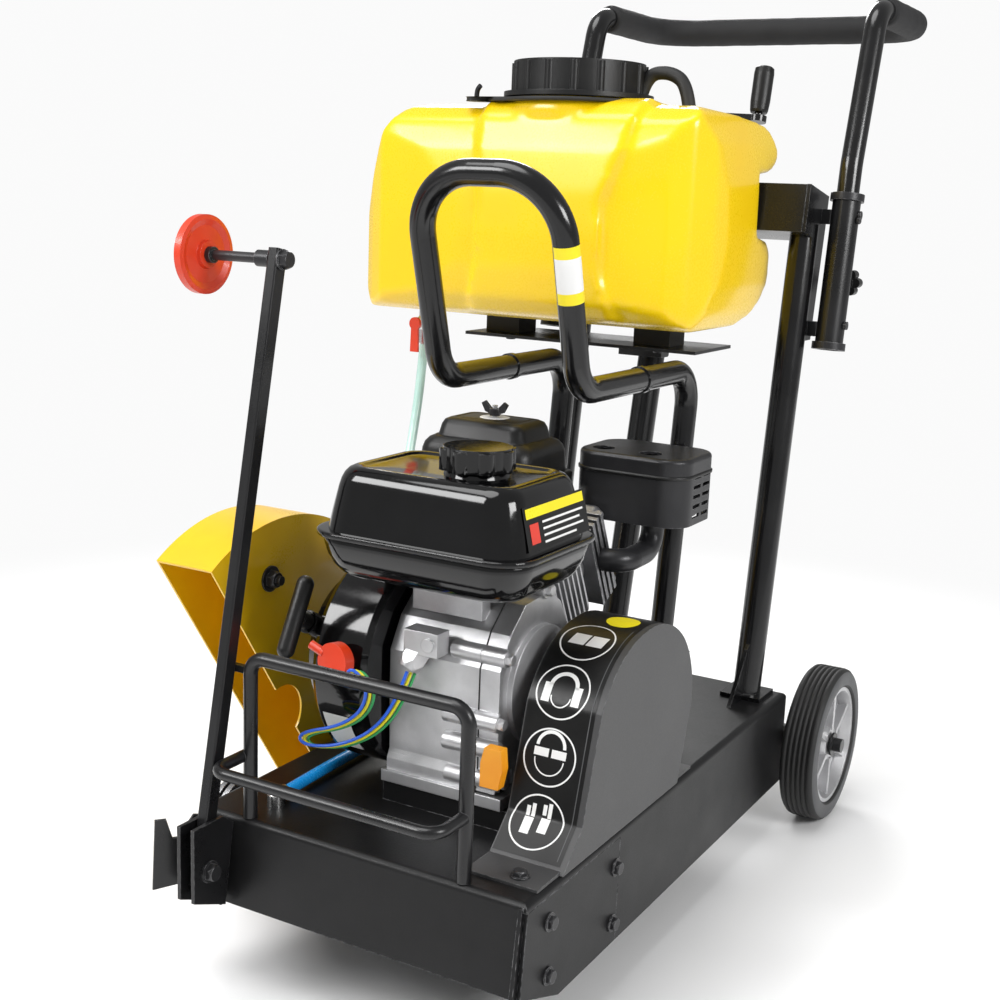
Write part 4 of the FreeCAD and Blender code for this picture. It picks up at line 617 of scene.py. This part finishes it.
sleeve = add_piece("foam_sleeve", foam_sleeve(), foam, "handle")
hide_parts("foam_grip")

# ---- belt guard label ---------------------------------------------------------------------

def three_point_arc(one, two, three, steps):
    """Points on the circle through three (y, z) points."""
    (ax, ay), (bx, by), (cx, cy) = one, two, three
    d = 2 * (ax * (by - cy) + bx * (cy - ay) + cx * (ay - by))
    a2, b2, c2 = ax * ax + ay * ay, bx * bx + by * by, cx * cx + cy * cy
    ux = (a2 * (by - cy) + b2 * (cy - ay) + c2 * (ay - by)) / d
    uy = (a2 * (cx - bx) + b2 * (ax - cx) + c2 * (bx - ax)) / d
    radius = math.hypot(ax - ux, ay - uy)
    start, end = math.atan2(ay - uy, ax - ux), math.atan2(cy - uy, cx - ux)
    if end > start:
        end -= 2 * math.pi
    turn = [start + (end - start) * i / steps for i in range(steps + 1)]
    return [(ux + radius * math.cos(a), uy + radius * math.sin(a)) for a in turn]


GUARD_LINE = [(-277, 180), (-241, 214), (-212, 316)]
GUARD_LINE += three_point_arc((-212, 316), (-172, 358), (-120, 374), 16)[1:]
GUARD_LINE += three_point_arc((-120, 374), (-66, 369), (-25, 347), 16)[1:]


def guard_skin(x, s, rise):
    """A point over the belt guard's front and top: s mm along its outline from the deck."""
    for one, two in zip(GUARD_LINE, GUARD_LINE[1:]):
        run = math.dist(one, two)
        if s <= run or two == GUARD_LINE[-1]:
            ty, tz = (two[0] - one[0]) / run, (two[1] - one[1]) / run
            return at(x, one[0] + ty * s - tz * rise, one[1] + tz * s + ty * rise)
        s -= run


def skin_patch(name, rows, material, rise):
    """Strips laid on the guard. Each row list is a grid of (x, s) points."""
    verts, faces = [], []
    for grid in rows:
        base, width = len(verts), len(grid[0])
        for line in grid:
            verts += [guard_skin(x, s, rise) for x, s in line]
        faces += ring_faces(len(grid), width, base, closed=False)
    return add_piece(name, mesh_of(name, verts, faces), material, "frame")


def bar(x0, x1, s0, s1, lean=0.0):
    steps = max(2, int(abs(s1 - s0) / 3))
    return [[(x0 + lean * i, s0 + (s1 - s0) * i / steps), (x1 + lean * i, s0 + (s1 - s0) * i / steps)]
            for i in range(steps + 1)]


def annulus(x, s, inner, outer, start=0, end=360):
    steps = 72 if end - start == 360 else 36
    grid = []
    for i in range(steps + 1):
        a = math.radians(start + (end - start) * i / steps)
        grid.append([(x + inner * math.cos(a), s + inner * math.sin(a)),
                     (x + outer * math.cos(a), s + outer * math.sin(a))])
    return grid


skin_patch("guard_label", [bar(109.5, 181, 8, 420)], label_black, 0.35)
skin_patch("guard_line", [bar(176.2, 177.2, 12, 262)], sidewall, 0.55)
MARK_X = 142
marks = []
for s in (43, 106, 170, 232):
    marks.append(annulus(MARK_X, s, 26.2, 27.8))
marks += [bar(124, 141, 224, 240, 0.5), bar(143, 160, 224, 240, 0.5)]
marks += [annulus(MARK_X, 174, 11.5, 15.5, 0, 180), bar(122, 130.5, 157, 176), bar(153.5, 162, 157, 176),
          annulus(MARK_X, 164, 9.5, 10.8, 180, 360)]
marks += [bar(125, 140.5, 106, 114), bar(143.5, 159, 106, 114), annulus(MARK_X, 104, 14.5, 15.8, 180, 360),
          annulus(MARK_X, 116, 12.5, 15.8, 0, 180)]
marks += [bar(128, 132, 48, 58), bar(133.5, 137.5, 48, 61), bar(128, 137.5, 30, 47), bar(145, 149, 52, 62),
          bar(150.5, 154.5, 50, 64), bar(145, 154.5, 34, 49)]
skin_patch("guard_marks", marks, label_white, 0.6)
skin_patch("guard_dot", [annulus(156, 283, 0.01, 17)], label_yellow, 0.7)

# ---- other labels -------------------------------------------------------------------------

def tank_patch(name, spans, material, rise):
    """Plain bars on the sloping right face of the fuel tank, from (y0, y1, z0, z1) spans."""
    verts, faces = [], []
    for y0, y1, z0, z1 in spans:
        base = len(verts)
        for z in (z0, (z0 + z1) / 2, z1):
            verts += [at(136 - (z - 466) * 14 / 60 + rise, y, z) for y in (y0, (y0 + y1) / 2, y1)]
        faces += ring_faces(3, 3, base, closed=False)
    return add_piece(name, mesh_of(name, verts, faces), material, "frame")


tank_patch("fuel_label_back", [(-270, -150, 474, 514)], label_black, 0.5)
tank_patch("fuel_label_band", [(-266, -154, 503, 512)], label_yellow, 0.8)
tank_patch("fuel_label_lines", [(-238, -158, 496, 498), (-238, -166, 490, 492), (-238, -160, 484, 486),
                                (-238, -176, 478, 480)], label_white, 0.8)
tank_patch("fuel_label_spot", [(-262, -246, 480, 498)], label_red, 0.8)


def disc(name, centre, radius, material):
    """A thin domed sticker, facing up."""
    verts, faces, count = [centre + Vector((0, 0, 0.0006))], [], 48
    for share, rise in ((0.5, 0.0006), (0.97, 0.0006), (1.0, 0.0002)):
        for i in range(count):
            a = 2 * math.pi * i / count
            verts.append(centre + Vector((radius * share * math.cos(a), radius * share * math.sin(a), rise)))
    for i in range(count):
        j = (i + 1) % count
        faces.append((0, 1 + i, 1 + j))
        for ring in (0, 1):
            faces.append((1 + ring * count + i, 1 + ring * count + count + i, 1 + ring * count + count + j,
                          1 + ring * count + j))
    return add_piece(name, mesh_of(name, verts, faces), material, "frame")


def shroud_label():
    """A plain label bent round the front of the fan shroud."""
    radius, steps, verts, faces = 113.5, 12, [], []
    for i in range(steps + 1):
        a = math.radians(20 + 26 * i / steps)
        verts += [at(x, -150 - radius * math.cos(a), 310 - radius * math.sin(a)) for x in (-100, -84, -68)]
    for i in range(steps):
        faces += [(3 * i + j, 3 * i + j + 3, 3 * i + j + 4, 3 * i + j + 1) for j in (0, 1)]
    add_piece("shroud_label", mesh_of("shroud_label", verts, faces), label_white, "frame")


shroud_label()
disc("filter_sticker", at(*FILTER_STUD, 540), 0.017, label_white)


BAIL_LEAN = math.radians(16)


def bail_band(name, z0, z1, material):
    """A sticker round the outer side of the bail's right limb."""
    rise = math.tan(BAIL_LEAN)
    axis = Vector((0, -math.sin(BAIL_LEAN), math.cos(BAIL_LEAN)))
    across = Vector((1, 0, 0))
    ahead = axis.cross(across)
    verts, count = [], 24
    for z in (z0, (z0 + z1) / 2, z1):
        centre = at(81, -81 - rise * (z - 594), z)
        for i in range(count + 1):
            a = math.radians(-125 + 140 * i / count)
            verts.append(centre + (across * math.cos(a) + ahead * math.sin(a)) * 0.0139)
    faces = ring_faces(3, count + 1, closed=False)
    return add_piece(name, mesh_of(name, verts, faces), material, "frame")


bail_band("bail_band_top", 730, 741, label_yellow)
bail_band("bail_band_middle", 697, 730, label_white)
bail_band("bail_band_low", 686, 697, label_yellow)

# ---- tank cap strap -----------------------------------------------------------------------

def collar(name, centre, inner, outer, low, high, material, body):
    """A flat rubber ring with rounded edges."""
    soft = 0.0012
    profile = [(inner, low), (outer - soft, low), (outer, low + soft), (outer, high - soft),
               (outer - soft, high),
               (inner, high)]
    verts, count = [], 72
    for i in range(count):
        a = 2 * math.pi * i / count
        verts += [centre + Vector((r * math.cos(a), r * math.sin(a), z)) for r, z in profile]
    data = mesh_of(name, verts, torus_faces(count, len(profile)))
    return add_piece(name, data, material, body)


def soft_plate(name, outline, span, place, round_edge, segments=1):
    """An extruded rubber outline with its edges taken off."""
    solid = prism(name, outline, span, place)
    edge = solid.modifiers.new("edge", "BEVEL")
    edge.width = round_edge
    edge.segments = segments
    data = evaluated(solid)
    drop(solid)
    return add_piece(name, data, mount_rubber, "frame", smooth=False)


collar("cap_strap_ring", at(*TANK_NECK, 893), 0.075, 0.093, 0.0, 0.0045, mount_rubber, "frame")
tab = []
for a in range(-90, 91, 15):
    tab.append((-206 - 12 * math.cos(math.radians(a)), 180 - 12 * math.sin(math.radians(a))))
tab += [(-176, 192), (-150, 200), (-150, 168), (-176, 168)]
soft_plate("cap_strap_tab", tab, (893, 898), from_above, 0.0012, segments=2)
nurbs("cap_strap_stud", [at(-206, 180, 896), at(-206, 180, 902), at(-204, 179, 908), at(-200, 178, 911)],
      0.003,
      black_steel, "frame")
nurbs("cap_hose_loop", [at(-28, 262, 900), at(-24, 266, 930), at(6, 270, 934), at(30, 268, 918), at(36, 264,
                                                                                                    884)],
      0.008, mount_rubber, "frame")

# ---- welds, gasket and small fixings ------------------------------------------------------

def bead(name, centre, axis, radius, thick, seed):
    """A weld bead round a tube's foot, as overlapping ripples."""
    turn = Vector((0, 0, 1)).rotation_difference(axis)
    verts, around, tube = [], 120, 8
    for i in range(around):
        a = 2 * math.pi * i / around
        uneven = noise.noise(Vector((math.cos(a) * 3, math.sin(a) * 3, seed)))
        ripple = 1 + 0.16 * abs(math.sin(a * 14)) + 0.10 * uneven
        for j in range(tube):
            b = 2 * math.pi * j / tube
            r = radius + thick * ripple * math.cos(b)
            verts.append(centre + turn @ Vector((r * math.cos(a), r * math.sin(a),
                                                 thick * ripple * math.sin(b))))
    return add_piece(name, mesh_of(name, verts, torus_faces(around, tube)), weld, "frame")


UPRIGHT_LEAN = math.radians(8.2)
lean = Vector((0, math.sin(UPRIGHT_LEAN), math.cos(UPRIGHT_LEAN)))
for i, side in enumerate((-1, 1)):
    bead("upright_weld_%d" % (i + 1), at(side * 147, 301.2, 181.2), lean, 0.0172, 0.0026, i)
    bead("bail_weld_%d" % (i + 1), at(side * 81, 159.6, 186), Vector((0, 0, 1)), 0.0138, 0.0022, i + 5)

gasket_line = [(-226, 202), (-226, 226), (-222, 236), (-224, 300), (-224, 340), (-206, 372), (-178, 396),
               (-128, 400),
               (-104, 384), (-76, 340), (-52, 300), (-44, 240), (-44, 202)]
PROUD = 1.008  # the gasket stands a little out of the joint all round
gasket_line = [(-134 + (y + 134) * PROUD, 300 + (z - 300) * PROUD) for y, z in gasket_line]
soft_plate("case_gasket", gasket_line, (61.2, 62.6), from_side, 0.0003)


def hex_head(name, centre, axis, across, height):
    """A chamfered hex head."""
    turn = Vector((0, 0, 1)).rotation_difference(axis.normalized())
    point = across / math.sqrt(3)
    rings = [(point, 0.0), (point, height * 0.7), (point * 0.86, height)]
    verts = []
    for radius, rise in rings:
        for i in range(6):
            a = 2 * math.pi * i / 6
            verts.append(centre + turn @ Vector((radius * math.cos(a), radius * math.sin(a), rise)))
    faces = ring_faces(len(rings), 6) + [tuple(range(12, 18))]
    return add_piece(name, mesh_of(name, verts, faces), black_steel, "frame", smooth=False)


for i, side in enumerate((-1, 1)):
    for j, along in enumerate((22, 150)):
        spot = at(side * 190, 406, 792) - lean * (along / 1000) + Vector((side * 0.0172, -0.004, 0))
        hex_head("socket_bolt_%d_%d" % (i + 1, j + 1), spot, Vector((side, 0, 0)), 0.008, 0.004)

# ---- floor and light ----------------------------------------------------------------------

PAPER = rgb(0.96, 0.96, 0.96)
FLOOR_SIZE = 9.0
CELLS = 24
FADE_START, FADE_END = 0.75, 1.7


def studio_floor():
    """A pale floor that brightens into the backdrop away from the saw, as a paper sweep does."""
    row = CELLS + 1
    verts = [Vector((FLOOR_SIZE * (i / CELLS - 0.5), FLOOR_SIZE * (j / CELLS - 0.5), -0.0005))
             for j in range(row) for i in range(row)]
    coat = finish("floor", rgb(0.90, 0.90, 0.90), rgb(0.88, 0.88, 0.88), (0.6, 0.7), blotch=0.6, grain=40.0,
                  bump=0.0)
    tree = coat.node_tree
    place = tree.nodes.new("ShaderNodeNewGeometry")
    reach = tree.nodes.new("ShaderNodeVectorMath")
    reach.operation = "LENGTH"
    fade = tree.nodes.new("ShaderNodeMapRange")
    fade.interpolation_type = "SMOOTHSTEP"
    fade.inputs["From Min"].default_value = FADE_START
    fade.inputs["From Max"].default_value = FADE_END
    sweep = tree.nodes.new("ShaderNodeEmission")
    sweep.inputs["Color"].default_value = PAPER
    blend = tree.nodes.new("ShaderNodeMixShader")
    surface = tree.nodes["Material Output"].inputs["Surface"]
    lit = surface.links[0].from_socket
    tree.links.new(place.outputs["Position"], reach.inputs[0])
    tree.links.new(reach.outputs["Value"], fade.inputs["Value"])
    tree.links.new(fade.outputs["Result"], blend.inputs[0])
    tree.links.new(lit, blend.inputs[1])
    tree.links.new(sweep.outputs[0], blend.inputs[2])
    tree.links.new(blend.outputs[0], surface)
    data = mesh_of("floor", verts, ring_faces(row, row, closed=False))
    add_piece("floor", data, coat)


def studio_world():
    """Dim even light on the saw, and plain paper white where the camera sees past it."""
    world = bpy.data.worlds.new("studio")
    world.use_nodes = True
    tree = world.node_tree
    sky = tree.nodes["Background"]
    backdrop = tree.nodes.new("ShaderNodeBackground")
    ray = tree.nodes.new("ShaderNodeLightPath")
    either = tree.nodes.new("ShaderNodeMixShader")
    sky.inputs["Color"].default_value = rgb(1.0, 1.0, 1.0)
    sky.inputs["Strength"].default_value = 0.38
    backdrop.inputs["Color"].default_value = PAPER
    tree.links.new(ray.outputs["Is Camera Ray"], either.inputs[0])
    tree.links.new(sky.outputs[0], either.inputs[1])
    tree.links.new(backdrop.outputs[0], either.inputs[2])
    tree.links.new(either.outputs[0], tree.nodes["World Output"].inputs["Surface"])
    bpy.context.scene.world = world


def hang(name, lamp, turn, place=(0, 0, 0)):
    holder = bpy.data.objects.new(name, lamp)
    holder.location = place
    holder.rotation_euler = turn
    bpy.context.collection.objects.link(holder)


# Each soft box: its name, place in metres, width and power in watts. They all face AIM.
SOFT_BOXES = [("key", (-1.5, -2.3, 2.1), 1.3, 50.0), ("side", (2.5, -0.7, 1.6), 1.1, 42.0),
              ("back", (-1.4, 2.4, 2.2), 1.2, 40.0)]
AIM = Vector((0, 0, 0.45))

studio_floor()
studio_world()
bpy.context.scene.view_settings.view_transform = "Standard"
sun = bpy.data.lights.new("sun", "SUN")
sun.energy = 1.9
sun.angle = 0.7
hang("sun", sun, (math.radians(18), math.radians(-14), 0))
for name, place, size, power in SOFT_BOXES:
    lamp = bpy.data.lights.new(name, "AREA")
    lamp.shape = "RECTANGLE"
    lamp.size = size
    lamp.size_y = size * 0.7
    lamp.energy = power
    hang(name, lamp, (AIM - Vector(place)).to_track_quat("-Z", "Y").to_euler(), place)

bpy.context.view_layer.update()
